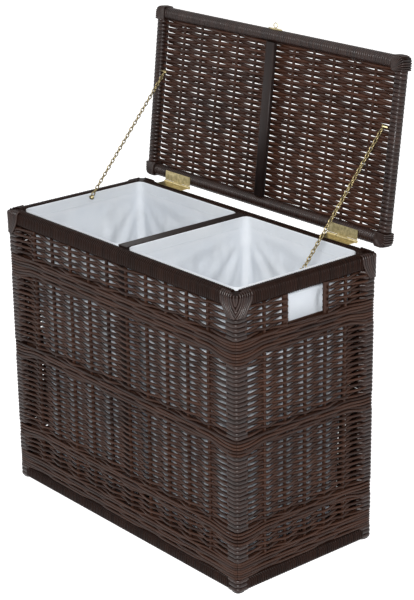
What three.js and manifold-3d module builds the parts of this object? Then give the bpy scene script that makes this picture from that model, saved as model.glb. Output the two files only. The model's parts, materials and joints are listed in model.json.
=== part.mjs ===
// Laundry hamper with two bins: a woven reed chest on a wooden frame, two cloth liners
// and a hinged lid that two chains hold open. Millimetres, +Z up, the front looks along -Y.
import * as THREE from "three";
import Module from "manifold-3d";
import { mergeVertices } from "three/addons/utils/BufferGeometryUtils.js";

const solidTools = await Module();
solidTools.setup();

// Driving sizes of the chest
const BODY_WIDTH = 724;
const BODY_DEPTH = 363;
const RIM_HEIGHT = 610;

// Clearance between pieces that lie on each other
const SEAT_GAP = 0.3;
// How far a cutting solid runs past the piece it cuts
const CUT_OVERRUN = 1;

// Frame of the chest: rails, divider and base board
const RAIL_THICK = 25.4;
const RAIL_DEEP = 30;
const RAIL_ROUND = 8;
const FOOT_ROUND = 5;
const DIVIDER_WIDE = 25;
const DIVIDER_DEEP = 25;
const CENTRE_POST_WIDE = 25;
const BOARD_THICK = 8;
const BOARD_RAISE = 12;

// Weave of the four walls
const STAKE_WIDE = 8;
const STAKE_THICK = 6;
const REED_THICK = 3.6;
const REED_ROW_GAP = 0.8;
const WEAVE_INSET = 0.8;
const WALE_PROUD = 1.2;
const TURN_WIDE = 8;
const FRONT_STAKES = 10;
const SIDE_STAKES = 5;
// Bands of close weave, as shares of the height between the rails: start, end
const BAND_SHARES = [[0, 0.064], [0.146, 0.182], [0.482, 0.527], [0.815, 0.884]];
const BAND_STRANDS = [2, 2, 2, 2];
// Rows of reed in the zones above each band
const ZONE_ROWS = [1, 3, 3, 2];

// Fan of reed strands lashed round each corner of the rim
const BINDING_REACH = 42;
const BINDING_THICK = 2.4;
const BINDING_DEEP = 38;
const BINDING_FOOT = 20;
// Height at which the fan starts to narrow, as a share of its depth
const BINDING_BEND_SHARE = 0.4;

// Cloth liners
const LINER_THICK = 2;
const LINER_BELOW_RIM = 3;
const LINER_TAPER = 2;
const LINER_CORNER = 14;
const LINER_CORNER_STEPS = 2;
const HEM_DEEP = 25;
const HEM_EXTRA = 0.8;
const NOTCH_WIDE = 12;
const NOTCH_DEEP = 16;

// Lid, which stands out past the chest by the overhang at each end and is deeper by one overhang
const LID_OVERHANG = 4;
const LID_WIDTH = BODY_WIDTH + 2 * LID_OVERHANG;
const LID_DEPTH = BODY_DEPTH + LID_OVERHANG;
const LID_THICK = 25;
const LID_RAIL_WIDE = 25;
const LID_RAIL_ROUND = 6;
const LID_CORNER_LONG = 30;
const LID_CORNER_INSET = 3.5;
const LID_CORNER_PROUD = 1.2;
const LID_STAKES = 11;
const LID_ROWS = 7;
// Slit left open between two rows of the lid panel, where the real reeds leave many small gaps
const LID_ROW_GAP = 7;
const LID_STAKE_THICK = 3;
const LID_REED_THICK = 2.4;
const LID_BAND_DEEP = 6;
const PANEL_RECESS = 12;
const LID_BAR_WIDE = 25;
const LID_LEAN_DEGREES = 6.5;

// Sides of small round pieces
const BARREL_SIDES = 10;
const SHANK_SIDES = 8;
const HEAD_SIDES = 10;
const EYE_STEPS = 10;
const EYE_SIDES = 4;

// Hinges
const PIN_BEHIND = 10;
const PIN_ABOVE_RIM = 1.5;
const LID_UNDERSIDE_ABOVE_PIN = 1.5;
const LID_EDGE_FROM_PIN = 3.5;
const PIN_RADIUS = 1.3;
const PIN_OVERHANG = 0.6;
const KNUCKLE_RADIUS = 3.2;
const KNUCKLE_PLAY = 0.4;
const LEAF_LONG = 82;
const LEAF_WIDE = 20;
const LEAF_THICK = 1;
const HINGE_FROM_END = 108;
const KNUCKLES = 3;

// Chains and their screws
const WIRE = 1.8;
const LINK_WIDE = 6.4;
const EYE_PLAY = 0.7;
const CHAIN_TO_HEM = 1.6;
const SHANK_RADIUS = 1.9;
const HEAD_RADIUS = 4;
const HEAD_THICK = 2.2;
const HEAD_TO_CHAIN = 0.4;
const RIM_SCREW_FROM_MIDDLE = 15;
const RIM_SCREW_BELOW_RIM = 8;
const LID_SCREW_ALONG = 230;
const LID_SCREW_DEEP = 5;
const UPPER_LINKS = 12;
const MIDDLE_LINKS = 3;
const LOWER_LINKS = 9;
// Overlap of neighbouring links of one length of chain, as a share of the wire
const LINK_BITE_SHARE = 0.3;
// Half of the gap left where each chain is parted, as a share of the wire
const PARTED_SHARE = 0.35;

// Pull on the front edge of the lid
const PULL_LONG = 41;
const PULL_TALL = 9;
const PULL_THICK = 2;
const RING_WIDE = 13.5;
const RING_TALL = 11.5;
const RING_WIRE = 2;
const RING_STEPS = 14;
const RING_SIDES = 5;

// Places worked out from the sizes above
const HALF_WIDTH = BODY_WIDTH / 2;
const HALF_DEPTH = BODY_DEPTH / 2;
const HINGE_OFFSET = HALF_WIDTH - HINGE_FROM_END;
const WALL_FOOT = RAIL_DEEP + SEAT_GAP;
const WALL_TOP = RIM_HEIGHT - RAIL_DEEP - SEAT_GAP;
const POST_OUTER_INSET = WEAVE_INSET + REED_THICK + SEAT_GAP;
const POST_WIDE = RAIL_THICK - POST_OUTER_INSET;
const LID_LEAN = THREE.MathUtils.degToRad(LID_LEAN_DEGREES);
const LID_OPEN = Math.PI / 2 + LID_LEAN;
const PIN_Y = HALF_DEPTH + PIN_BEHIND;
const PIN_Z = RIM_HEIGHT + PIN_ABOVE_RIM;
const LINER_OUTER_INSET = RAIL_THICK + SEAT_GAP;
const CHAIN_X = HALF_WIDTH - LINER_OUTER_INSET - LINER_THICK - HEM_EXTRA - CHAIN_TO_HEM - LINK_WIDE / 2;
const BOARD_TOP = BOARD_RAISE + BOARD_THICK;

// Shift that brings the origin under the middle of the open hamper
const FRONT_REACH = HALF_DEPTH + SEAT_GAP + BINDING_THICK;
const LID_REACH = LID_EDGE_FROM_PIN + LID_DEPTH;
const LID_TOP = LID_UNDERSIDE_ABOVE_PIN + LID_THICK + LID_CORNER_PROUD;
const BACK_REACH = PIN_Y + LID_REACH * Math.sin(LID_LEAN) + LID_TOP * Math.cos(LID_LEAN);
const MIDDLE_Y = (BACK_REACH - FRONT_REACH) / 2;

// Finishes
const finishes = {
  reed: { color: 0x3b2a26, roughness: 0.5, metalness: 0 },
  wood: { color: 0x33231f, roughness: 0.6, metalness: 0 },
  board: { color: 0x5a4638, roughness: 0.8, metalness: 0 },
  cotton: { color: 0xf1f2f4, roughness: 0.95, metalness: 0 },
  brass: { color: 0xb08d4f, roughness: 0.35, metalness: 0.9 },
};

function finish(name) {
  return new THREE.MeshStandardMaterial(finishes[name]);
}

// Flat contour of a ring of points, seen along the axis that it faces most
function flatContour(ring) {
  const normal = new THREE.Vector3();
  ring.forEach((point, index) => {
    const next = ring[(index + 1) % ring.length];
    normal.add(new THREE.Vector3().crossVectors(point, next));
  });
  const sizes = normal.toArray().map(Math.abs);
  const axis = sizes.indexOf(Math.max(...sizes));
  return ring.map((point) => {
    const kept = point.toArray();
    kept.splice(axis, 1);
    return new THREE.Vector2(...kept);
  });
}

// Triangles that close one end of a loft, wound the same way as the ring of points
function capTriangles(ring, offset) {
  const contour = flatContour(ring);
  const turn = Math.sign(THREE.ShapeUtils.area(contour));
  return THREE.ShapeUtils.triangulateShape(contour, []).map((corners) => {
    const area = THREE.ShapeUtils.area(corners.map((corner) => contour[corner]));
    const ordered = Math.sign(area) === turn ? corners : [...corners].reverse();
    return ordered.map((corner) => corner + offset);
  });
}

function signedVolume(positions, index) {
  const [a, b, c] = [new THREE.Vector3(), new THREE.Vector3(), new THREE.Vector3()];
  let total = 0;
  for (let at = 0; at < index.length; at += 3) {
    a.fromArray(positions, index[at] * 3);
    b.fromArray(positions, index[at + 1] * 3);
    c.fromArray(positions, index[at + 2] * 3);
    total += a.dot(b.cross(c));
  }
  return total;
}

// Closed solid through rings of equal numbers of points: capped, or joined end to end
function loft(rings, joined = false) {
  const count = rings[0].length;
  const points = rings.flat();
  const positions = points.flatMap((point) => point.toArray());
  const triangles = [];
  const spans = joined ? rings.length : rings.length - 1;
  for (let span = 0; span < spans; span += 1) {
    const here = span * count;
    const there = ((span + 1) % rings.length) * count;
    for (let side = 0; side < count; side += 1) {
      const next = (side + 1) % count;
      triangles.push([here + side, here + next, there + next]);
      triangles.push([here + side, there + next, there + side]);
    }
  }
  if (!joined) {
    capTriangles(rings[0], 0).forEach((corners) => triangles.push([...corners].reverse()));
    const last = (rings.length - 1) * count;
    triangles.push(...capTriangles(rings[rings.length - 1], last));
  }
  const outward = signedVolume(positions, triangles.flat()) > 0;
  const index = outward ? triangles : triangles.map((corners) => [...corners].reverse());
  const geometry = new THREE.BufferGeometry();
  geometry.setAttribute("position", new THREE.Float32BufferAttribute(positions, 3));
  geometry.setIndex(index.flat());
  return geometry;
}

// Conversion between three.js geometry and the solids that booleans work on
function toSolid(geometry) {
  const bare = new THREE.BufferGeometry();
  bare.setAttribute("position", geometry.getAttribute("position"));
  bare.setIndex(geometry.getIndex());
  const merged = mergeVertices(bare);
  return new solidTools.Manifold(new solidTools.Mesh({
    numProp: 3,
    vertProperties: new Float32Array(merged.getAttribute("position").array),
    triVerts: new Uint32Array(merged.getIndex().array),
  }));
}

function fromSolid(solid) {
  const mesh = solid.getMesh();
  const geometry = new THREE.BufferGeometry();
  geometry.setAttribute("position", new THREE.Float32BufferAttribute(mesh.vertProperties, 3));
  geometry.setIndex([...mesh.triVerts]);
  return geometry;
}

function joinAll(geometries) {
  const [first, ...rest] = geometries.map(toSolid);
  return fromSolid(rest.reduce((joined, next) => joined.add(next), first));
}

function cutAll(geometry, cutters) {
  return fromSolid(cutters.map(toSolid).reduce((left, next) => left.subtract(next), toSolid(geometry)));
}

// Box between two corners
function block(low, high) {
  const size = high.map((value, axis) => value - low[axis]);
  const middle = high.map((value, axis) => (value + low[axis]) / 2);
  return new THREE.BoxGeometry(...size).translate(...middle);
}

// Prism of a flat outline of [x, y] points, standing from z = 0 up
function prism(outline, height) {
  const shape = new THREE.Shape(outline.map(([x, y]) => new THREE.Vector2(x, y)));
  return new THREE.ExtrudeGeometry(shape, { depth: height, bevelEnabled: false });
}

function node(name, geometry, finishName) {
  const flat = geometry.index ? geometry.toNonIndexed() : geometry;
  flat.computeVertexNormals();
  const mesh = new THREE.Mesh(flat, finish(finishName));
  mesh.name = name;
  return mesh;
}

// Wall frame: x runs along the wall, y points out of the chest, z is up
function weaveOf(clearSpan, stakes, stakeThick, reedThick) {
  const pitch = clearSpan / (stakes + 1);
  const closest = (stakeThick + reedThick) / 2 + SEAT_GAP;
  const swing = closest / (1 - STAKE_WIDE / pitch);
  const places = Array.from({ length: stakes }, (_, stake) => (stake - (stakes - 1) / 2) * pitch);
  return { pitch, swing, places, stakeThick, reedThick, reach: swing + reedThick / 2 };
}

function wallOf(length, stakes, endInset) {
  const half = length / 2;
  const weave = weaveOf(length - 2 * RAIL_THICK, stakes, STAKE_THICK, REED_THICK);
  return {
    ...weave,
    half,
    end: half - endInset,
    flatFrom: half - RAIL_THICK,
    inset: WEAVE_INSET + weave.reach,
  };
}

const FRONT_WALL = wallOf(BODY_WIDTH, FRONT_STAKES, WEAVE_INSET + REED_THICK + SEAT_GAP);
const SIDE_WALL = wallOf(BODY_DEPTH, SIDE_STAKES, WEAVE_INSET);
const HOLE_HALF = SIDE_WALL.pitch - STAKE_WIDE / 2 - SEAT_GAP - REED_THICK;

const WALLS = {
  front: { wall: FRONT_WALL, turn: Math.PI, out: [0, -1], half: HALF_DEPTH, handle: false },
  back: { wall: FRONT_WALL, turn: 0, out: [0, 1], half: HALF_DEPTH, handle: false },
  left: { wall: SIDE_WALL, turn: Math.PI / 2, out: [-1, 0], half: HALF_WIDTH, handle: true },
  right: { wall: SIDE_WALL, turn: -Math.PI / 2, out: [1, 0], half: HALF_WIDTH, handle: true },
};

// Turns a piece made in the wall frame to its side of the chest, at an inset from the rim
function seatOnWall(mesh, side, inset) {
  const { turn, out, half } = WALLS[side];
  mesh.rotation.z = turn;
  mesh.position.set(out[0] * (half - inset), out[1] * (half - inset), 0);
  return mesh;
}

function heightAt(share) {
  return WALL_FOOT + share * (WALL_TOP - WALL_FOOT);
}

// Plan of a wale band: full thickness between the posts, thin tongues past them
function bandPlan(wall, proud) {
  const outer = wall.reach + proud;
  const tongue = wall.swing - REED_THICK / 2;
  const thickTo = wall.flatFrom - SEAT_GAP;
  const thinTo = wall.end - TURN_WIDE - 2 * SEAT_GAP;
  return [
    [-thickTo, -outer],
    [thickTo, -outer],
    [thickTo, tongue],
    [thinTo, tongue],
    [thinTo, outer],
    [-thinTo, outer],
    [-thinTo, tongue],
    [-thickTo, tongue],
  ];
}

// One band of wale weave: its strands bulge and meet in valleys
function waleBand(wall, low, high, strands) {
  const steps = strands * 2;
  const rings = Array.from({ length: steps + 1 }, (_, step) => {
    const proud = step % 2 === 1 ? WALE_PROUD : 0;
    const z = low + ((high - low) * step) / steps;
    return bandPlan(wall, proud).map(([x, y]) => new THREE.Vector3(x, y, z));
  });
  return loft(rings);
}

function stake(weave, x, low, high) {
  const half = weave.stakeThick / 2;
  return block([x - STAKE_WIDE / 2, -half, low], [x + STAKE_WIDE / 2, half, high]);
}

// Comb of one wall: the stakes and the wale bands that grip them
function wallComb(wall, handle) {
  const topBand = heightAt(BAND_SHARES[BAND_SHARES.length - 1][1]);
  const stakes = wall.places.map((x) => {
    const inHole = handle && Math.abs(x) < HOLE_HALF;
    return stake(wall, x, WALL_FOOT, inHole ? topBand - SEAT_GAP : WALL_TOP);
  });
  const bands = BAND_SHARES.map(([low, high], band) => (
    waleBand(wall, heightAt(low), heightAt(high), BAND_STRANDS[band])
  ));
  return joinAll([...bands, ...stakes]);
}

// Rows of reed between the bands: their low and high edges
function reedRows() {
  return BAND_SHARES.flatMap(([, bandEnd], zone) => {
    const next = BAND_SHARES[zone + 1];
    const low = heightAt(bandEnd) + SEAT_GAP;
    const high = (next ? heightAt(next[0]) : WALL_TOP) - SEAT_GAP;
    const rows = ZONE_ROWS[zone];
    const pitch = (high - low + REED_ROW_GAP) / rows;
    return Array.from({ length: rows }, (_, row) => ({
      low: low + row * pitch,
      high: low + (row + 1) * pitch - REED_ROW_GAP,
      zone,
    }));
  });
}

// Path of one row through the stakes: over and under, and outside at both ends
function reedPath(weave, phase, from, to, flatFrom) {
  const path = weave.places
    .map((x, index) => [x, (index + phase) % 2 === 0 ? weave.swing : -weave.swing])
    .filter(([x]) => x > from && x < to);
  if (from < -flatFrom) path.unshift([from, weave.swing], [-flatFrom, weave.swing]);
  else path.unshift([from, path[0][1]]);
  if (to > flatFrom) path.push([flatFrom, weave.swing], [to, weave.swing]);
  else path.push([to, path[path.length - 1][1]]);
  return path;
}

function reedRow(path, thick, low, high) {
  const half = thick / 2;
  return loft(path.map(([x, y]) => [
    new THREE.Vector3(x, y - half, low),
    new THREE.Vector3(x, y + half, low),
    new THREE.Vector3(x, y + half, high),
    new THREE.Vector3(x, y - half, high),
  ]));
}

// Turn of the reed at the end of a row, up to the row above
function reedTurn(weave, side, end, low, high) {
  const xs = [side * end, side * (end - TURN_WIDE)].sort((a, b) => a - b);
  const half = weave.reedThick / 2;
  return block([xs[0], weave.swing - half, low], [xs[1], weave.swing + half, high]);
}

// Turn of the reed round the stake beside the handle hole
function holeTurn(weave, side, low, high) {
  const xs = [side * HOLE_HALF, side * (HOLE_HALF + REED_THICK)].sort((a, b) => a - b);
  return block([xs[0], -weave.reach, low], [xs[1], weave.reach, high]);
}

// Weaver of a plain wall: one reed that climbs row by row and turns at alternate ends
function plainWeaver(weave, rows, end, flatFrom) {
  const strips = rows.map((row, index) => (
    reedRow(reedPath(weave, index, -end, end, flatFrom), weave.reedThick, row.low, row.high)
  ));
  const turns = rows.slice(1).map((row, index) => {
    const side = index % 2 === 0 ? 1 : -1;
    return reedTurn(weave, side, end, rows[index].low, row.high);
  });
  return joinAll([...strips, ...turns]);
}

// Weaver of a wall with a handle hole: the top rows turn back on each side of the hole
function handleWeaver(wall) {
  const rows = reedRows();
  const lastZone = BAND_SHARES.length - 1;
  const split = rows.findIndex((row) => row.zone === lastZone);
  const lower = plainWeaver(wall, rows.slice(0, split), wall.end, wall.flatFrom);
  const upper = rows.slice(split);
  const top = upper[upper.length - 1].high;
  const pieces = [-1, 1].flatMap((side) => {
    const ends = [side * HOLE_HALF, side * wall.end].sort((a, b) => a - b);
    const strips = upper.map((row, index) => (
      reedRow(reedPath(wall, split + index, ...ends, wall.flatFrom), REED_THICK, row.low, row.high)
    ));
    const climb = reedTurn(wall, side, wall.end, rows[split - 1].low, upper[0].high);
    return [...strips, holeTurn(wall, side, upper[0].low, top), climb];
  });
  return joinAll([lower, ...pieces]);
}

function walls() {
  return Object.entries(WALLS).flatMap(([side, { wall, handle }]) => {
    const comb = node(`stakes_${side}`, wallComb(wall, handle), "reed");
    const woven = handle ? handleWeaver(wall) : plainWeaver(wall, reedRows(), wall.end, wall.flatFrom);
    const weaver = node(`weaver_${side}`, woven, "reed");
    return [comb, weaver].map((mesh) => seatOnWall(mesh, side, wall.inset));
  });
}

// Section of a rail, y out of the chest and z up, with one rounded outer edge
function railSection(thick, deep, radius, roundTop) {
  const shape = new THREE.Shape();
  const far = roundTop ? deep : 0;
  const near = deep - far;
  const centre = roundTop ? deep - radius : radius;
  shape.moveTo(-thick, near);
  shape.lineTo(0, near);
  shape.lineTo(0, centre);
  if (roundTop) shape.absarc(-radius, centre, radius, 0, Math.PI / 2, false);
  else shape.absarc(-radius, centre, radius, 0, -Math.PI / 2, true);
  shape.lineTo(-thick, far);
  return shape;
}

// Rail along x, its outer face on y = 0
function rail(length, thick, deep, radius, roundTop) {
  const section = railSection(thick, deep, radius, roundTop);
  const geometry = new THREE.ExtrudeGeometry(section, { depth: length, bevelEnabled: false, curveSegments: 3 });
  geometry.translate(0, 0, -length / 2);
  geometry.rotateY(Math.PI / 2);
  return geometry.rotateX(Math.PI / 2);
}

function rails() {
  const crossLength = BODY_DEPTH - 2 * (RAIL_THICK + SEAT_GAP);
  return Object.keys(WALLS).flatMap((side) => {
    const length = WALLS[side].handle ? crossLength : BODY_WIDTH;
    const top = node(`top_rail_${side}`, rail(length, RAIL_THICK, RAIL_DEEP, RAIL_ROUND, true), "wood");
    const foot = node(`bottom_rail_${side}`, rail(length, RAIL_THICK, RAIL_DEEP, FOOT_ROUND, false), "wood");
    seatOnWall(top, side, 0);
    seatOnWall(foot, side, 0);
    top.position.z = RIM_HEIGHT - RAIL_DEEP;
    return [top, foot];
  });
}

// The four corners, with the signs that mirror a piece made for the back right one
function corners() {
  return [
    { label: "front_left", sx: -1, sy: -1 },
    { label: "front_right", sx: 1, sy: -1 },
    { label: "back_left", sx: -1, sy: 1 },
    { label: "back_right", sx: 1, sy: 1 },
  ];
}

// Turn about z that brings a piece which is alike on both faces to its corner
function cornerTurn({ sx, sy }) {
  return Math.atan2(sy, sx) - Math.PI / 4;
}

function posts() {
  return corners().map((corner) => {
    const geometry = block([-POST_WIDE / 2, -POST_WIDE / 2, WALL_FOOT], [POST_WIDE / 2, POST_WIDE / 2, WALL_TOP]);
    const mesh = node(`corner_post_${corner.label}`, geometry, "wood");
    const inset = POST_OUTER_INSET + POST_WIDE / 2;
    mesh.position.set(corner.sx * (HALF_WIDTH - inset), corner.sy * (HALF_DEPTH - inset), 0);
    return mesh;
  });
}

// One leaf of the corner lashing: wide on the rim, narrowing down the post
function bindingLeaf() {
  const outer = SEAT_GAP + BINDING_THICK;
  const outline = [
    [-BINDING_REACH, 0],
    [outer, 0],
    [outer, -BINDING_DEEP],
    [-BINDING_FOOT, -BINDING_DEEP],
    [-BINDING_REACH, -BINDING_DEEP * BINDING_BEND_SHARE],
  ];
  const leaf = prism(outline, BINDING_THICK);
  leaf.rotateX(Math.PI / 2);
  return leaf.translate(0, outer, 0);
}

// Lashing of the back right corner, its corner point on the rim's own corner
function bindingCorner() {
  const back = bindingLeaf();
  const side = bindingLeaf();
  side.applyMatrix4(new THREE.Matrix4().set(0, 1, 0, 0, 1, 0, 0, 0, 0, 0, 1, 0, 0, 0, 0, 1));
  const index = [...Array(side.getAttribute("position").count).keys()].reverse();
  side.setIndex(index);
  back.setIndex([...Array(back.getAttribute("position").count).keys()]);
  return joinAll([back, side]);
}

function bindings() {
  return corners().map((corner) => {
    const mesh = node(`corner_binding_${corner.label}`, bindingCorner(), "reed");
    mesh.rotation.z = cornerTurn(corner);
    mesh.position.set(corner.sx * HALF_WIDTH, corner.sy * HALF_DEPTH, RIM_HEIGHT);
    return mesh;
  });
}

// Centre posts behind the weave, between it and the liners
function centrePosts() {
  const outer = FRONT_WALL.inset + FRONT_WALL.reach + WALE_PROUD + SEAT_GAP;
  const half = CENTRE_POST_WIDE / 2;
  return ["front", "back"].map((side) => {
    const geometry = block([-half, outer - RAIL_THICK, WALL_FOOT], [half, 0, WALL_TOP]);
    return seatOnWall(node(`centre_post_${side}`, geometry, "wood"), side, outer);
  });
}

function divider() {
  const half = HALF_DEPTH - RAIL_THICK - SEAT_GAP;
  const wide = DIVIDER_WIDE / 2;
  const geometry = block([-wide, -half, RIM_HEIGHT - DIVIDER_DEEP], [wide, half, RIM_HEIGHT]);
  return node("divider_bar", geometry, "wood");
}

function baseBoard() {
  const inset = RAIL_THICK + SEAT_GAP;
  const [x, y] = [HALF_WIDTH - inset, HALF_DEPTH - inset];
  return node("base_board", block([-x, -y, BOARD_RAISE], [x, y, BOARD_TOP]), "board");
}

// Ring of points round a rectangle with round corners
function roundedRing(halfX, halfY, radius, z) {
  const ring = [];
  [[1, 1], [-1, 1], [-1, -1], [1, -1]].forEach(([sx, sy], quarter) => {
    for (let step = 0; step <= LINER_CORNER_STEPS; step += 1) {
      const angle = (quarter + step / LINER_CORNER_STEPS) * (Math.PI / 2);
      const x = sx * (halfX - radius) + radius * Math.cos(angle);
      const y = sy * (halfY - radius) + radius * Math.sin(angle);
      ring.push(new THREE.Vector3(x, y, z));
    }
  });
  return ring;
}

// Liner about its own middle: hanging walls, a thicker hem and an open top
function liner(halfX, halfY, chainSide, chainY) {
  const low = BOARD_TOP + SEAT_GAP;
  const high = RIM_HEIGHT - LINER_BELOW_RIM;
  const ring = (inset, z) => roundedRing(halfX - inset, halfY - inset, LINER_CORNER - inset / 2, z);
  const hemFoot = high - HEM_DEEP;
  const hem = LINER_THICK + HEM_EXTRA;
  const geometry = loft([
    ring(LINER_TAPER, low),
    ring(0, hemFoot),
    ring(0, high),
    ring(hem, high),
    ring(hem, hemFoot),
    ring(LINER_THICK, hemFoot - HEM_EXTRA),
    ring(LINER_TAPER + LINER_THICK, low + LINER_THICK),
  ]);
  const half = NOTCH_WIDE / 2;
  const xs = [chainSide * (halfX - hem - CUT_OVERRUN), chainSide * (halfX + CUT_OVERRUN)].sort((a, b) => a - b);
  const notch = block([xs[0], chainY - half, high - NOTCH_DEEP], [xs[1], chainY + half, high + CUT_OVERRUN]);
  return cutAll(geometry, [notch]);
}

function liners() {
  const inner = DIVIDER_WIDE / 2 + SEAT_GAP;
  const outer = HALF_WIDTH - LINER_OUTER_INSET;
  const halfX = (outer - inner) / 2;
  const halfY = HALF_DEPTH - LINER_OUTER_INSET;
  return [["left", -1], ["right", 1]].map(([label, side]) => {
    const mesh = node(`liner_${label}`, liner(halfX, halfY, side, RIM_SCREW_FROM_MIDDLE), "cotton");
    mesh.position.x = side * (inner + halfX);
    return mesh;
  });
}

// Round rod along x, about the origin
function rod(radius, long, sides) {
  return new THREE.CylinderGeometry(radius, radius, long, sides).rotateZ(Math.PI / 2);
}

// Hinge leaf about the pin: plate and knuckles, bored for the pin; up is 1 for the lid's leaf
function hingeLeaf(up, keeps) {
  const half = LEAF_LONG / 2;
  const zs = [up * (LEAF_THICK + SEAT_GAP / 2), (up * SEAT_GAP) / 2].sort((a, b) => a - b);
  const plate = block([-half, -LEAF_WIDE - KNUCKLE_RADIUS, zs[0]], [half, 0, zs[1]]);
  const barrel = rod(KNUCKLE_RADIUS, LEAF_LONG, BARREL_SIDES);
  const bore = rod(PIN_RADIUS + KNUCKLE_PLAY, LEAF_LONG + 2 * CUT_OVERRUN, BARREL_SIDES);
  const reach = KNUCKLE_RADIUS + KNUCKLE_PLAY;
  const width = LEAF_LONG / KNUCKLES;
  const slots = [...Array(KNUCKLES).keys()].filter((at) => !keeps.includes(at)).map((at) => {
    const from = at === 0 ? -half - CUT_OVERRUN : -half + at * width - KNUCKLE_PLAY;
    const to = at === KNUCKLES - 1 ? half + CUT_OVERRUN : -half + (at + 1) * width + KNUCKLE_PLAY;
    return block([from, -reach, -reach], [to, reach, reach]);
  });
  return cutAll(joinAll([plate, barrel]), [bore, ...slots]);
}

function hingePin() {
  return rod(PIN_RADIUS, LEAF_LONG + 2 * PIN_OVERHANG, BARREL_SIDES);
}

function bodyHinges() {
  return [["left", -1], ["right", 1]].flatMap(([label, side]) => {
    const leaf = node(`hinge_leaf_body_${label}`, hingeLeaf(-1, [0, 2]), "brass");
    const pin = node(`hinge_pin_${label}`, hingePin(), "brass");
    leaf.position.set(side * HINGE_OFFSET, PIN_Y, PIN_Z);
    pin.position.copy(leaf.position);
    return [leaf, pin];
  });
}

// Pan-head screw, its shank along +x from z = 0 of the wood face, inward of the chest
function screw(shankLong) {
  const rooted = shankLong + HEAD_THICK / 2;
  const shank = rod(SHANK_RADIUS, rooted, SHANK_SIDES).translate(rooted / 2, 0, 0);
  const crown = HEAD_THICK / 4;
  const profile = [
    [0, 0],
    [HEAD_RADIUS, 0],
    [HEAD_RADIUS, HEAD_THICK - 2 * crown],
    [HEAD_RADIUS - crown, HEAD_THICK - crown],
    [0, HEAD_THICK],
  ];
  const head = new THREE.LatheGeometry(profile.map(([r, z]) => new THREE.Vector2(r, z)), HEAD_SIDES);
  head.rotateZ(-Math.PI / 2).translate(shankLong, 0, 0);
  return joinAll([shank, head]);
}

// The head stays clear of the link that hangs in the eye
const HEAD_X = CHAIN_X - LINK_WIDE / 2 - HEAD_TO_CHAIN;

// Screw whose shank starts at a rail's inner face and points to the middle of the hamper
function chainScrew(name, side, faceX) {
  const start = faceX - SEAT_GAP;
  const mesh = node(name, screw(start - HEAD_X), "brass");
  mesh.rotation.z = side > 0 ? Math.PI : 0;
  mesh.position.x = side * start;
  return mesh;
}

// Ends of the taut chain in the plane y, z of the chest
const RIM_END = new THREE.Vector2(RIM_SCREW_FROM_MIDDLE, RIM_HEIGHT - RIM_SCREW_BELOW_RIM);
const LID_END = new THREE.Vector2(
  -LID_EDGE_FROM_PIN - LID_SCREW_ALONG,
  LID_UNDERSIDE_ABOVE_PIN + LID_SCREW_DEEP,
).rotateAround(new THREE.Vector2(), -LID_OPEN).add(new THREE.Vector2(PIN_Y, PIN_Z));

function rimScrews() {
  return [["left", -1], ["right", 1]].map(([label, side]) => {
    const mesh = chainScrew(`chain_screw_rim_${label}`, side, HALF_WIDTH - RAIL_THICK);
    mesh.position.y = RIM_END.x;
    mesh.position.z = RIM_END.y;
    return mesh;
  });
}

// Link along z between two bow centres; across is its own wide direction
function link(from, to, across) {
  const bend = (LINK_WIDE - WIRE) / 2;
  const nose = bend / 2;
  const path = [
    [-nose, from],
    [-bend, from + nose],
    [-bend, to - nose],
    [-nose, to],
    [nose, to],
    [bend, to - nose],
    [bend, from + nose],
    [nose, from],
  ];
  const middle = new THREE.Vector2(0, (from + to) / 2);
  const thin = new THREE.Vector3(...(across.x ? [0, 1, 0] : [1, 0, 0]));
  const half = WIRE / 2;
  const rings = path.map(([side, along]) => {
    const out = new THREE.Vector2(side, along).sub(middle);
    out.y = Math.sign(out.y) * Math.max(0, Math.abs(out.y) - ((to - from) / 2 - bend));
    out.normalize();
    const centre = new THREE.Vector3(across.x * side, across.y * side, along);
    const outward = new THREE.Vector3(across.x * out.x, across.y * out.x, out.y);
    return [
      centre.clone().addScaledVector(outward, half),
      centre.clone().addScaledVector(thin, half),
      centre.clone().addScaledVector(outward, -half),
      centre.clone().addScaledVector(thin, -half),
    ];
  });
  return loft(rings, true);
}

// Round eye about a screw, its hole along x
const EYE_WIRE_RADIUS = SHANK_RADIUS + EYE_PLAY + WIRE / 2;

function eye(z) {
  const geometry = new THREE.TorusGeometry(EYE_WIRE_RADIUS, WIRE / 2, EYE_SIDES, EYE_STEPS);
  return geometry.rotateY(Math.PI / 2).translate(0, 0, z);
}

// Pitch of the links and lengths between the pivots of a taut chain
const CHAIN_LINE = new THREE.Vector2().subVectors(RIM_END, LID_END);
const LINK_COUNT = UPPER_LINKS + MIDDLE_LINKS + LOWER_LINKS;
const LINK_PITCH = (CHAIN_LINE.length() - 2 * EYE_WIRE_RADIUS) / LINK_COUNT;
const FIRST_PIVOT = EYE_WIRE_RADIUS + UPPER_LINKS * LINK_PITCH;
const SECOND_PIVOT = FIRST_PIVOT + MIDDLE_LINKS * LINK_PITCH;

// One length of chain along z: links between contact points, lying by turns across x and y
function chainLength(start, count, first, ends) {
  const bite = (WIRE * (1 - LINK_BITE_SHARE)) / 2;
  return [...Array(count).keys()].map((at) => {
    const across = (at + first) % 2 === 0 ? { x: 1, y: 0 } : { x: 0, y: 1 };
    const from = at === 0 ? start + ends[0] : start + at * LINK_PITCH - bite;
    const to = at === count - 1 ? start + count * LINK_PITCH + ends[1] : start + (at + 1) * LINK_PITCH + bite;
    return link(from, to, across);
  });
}

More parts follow.
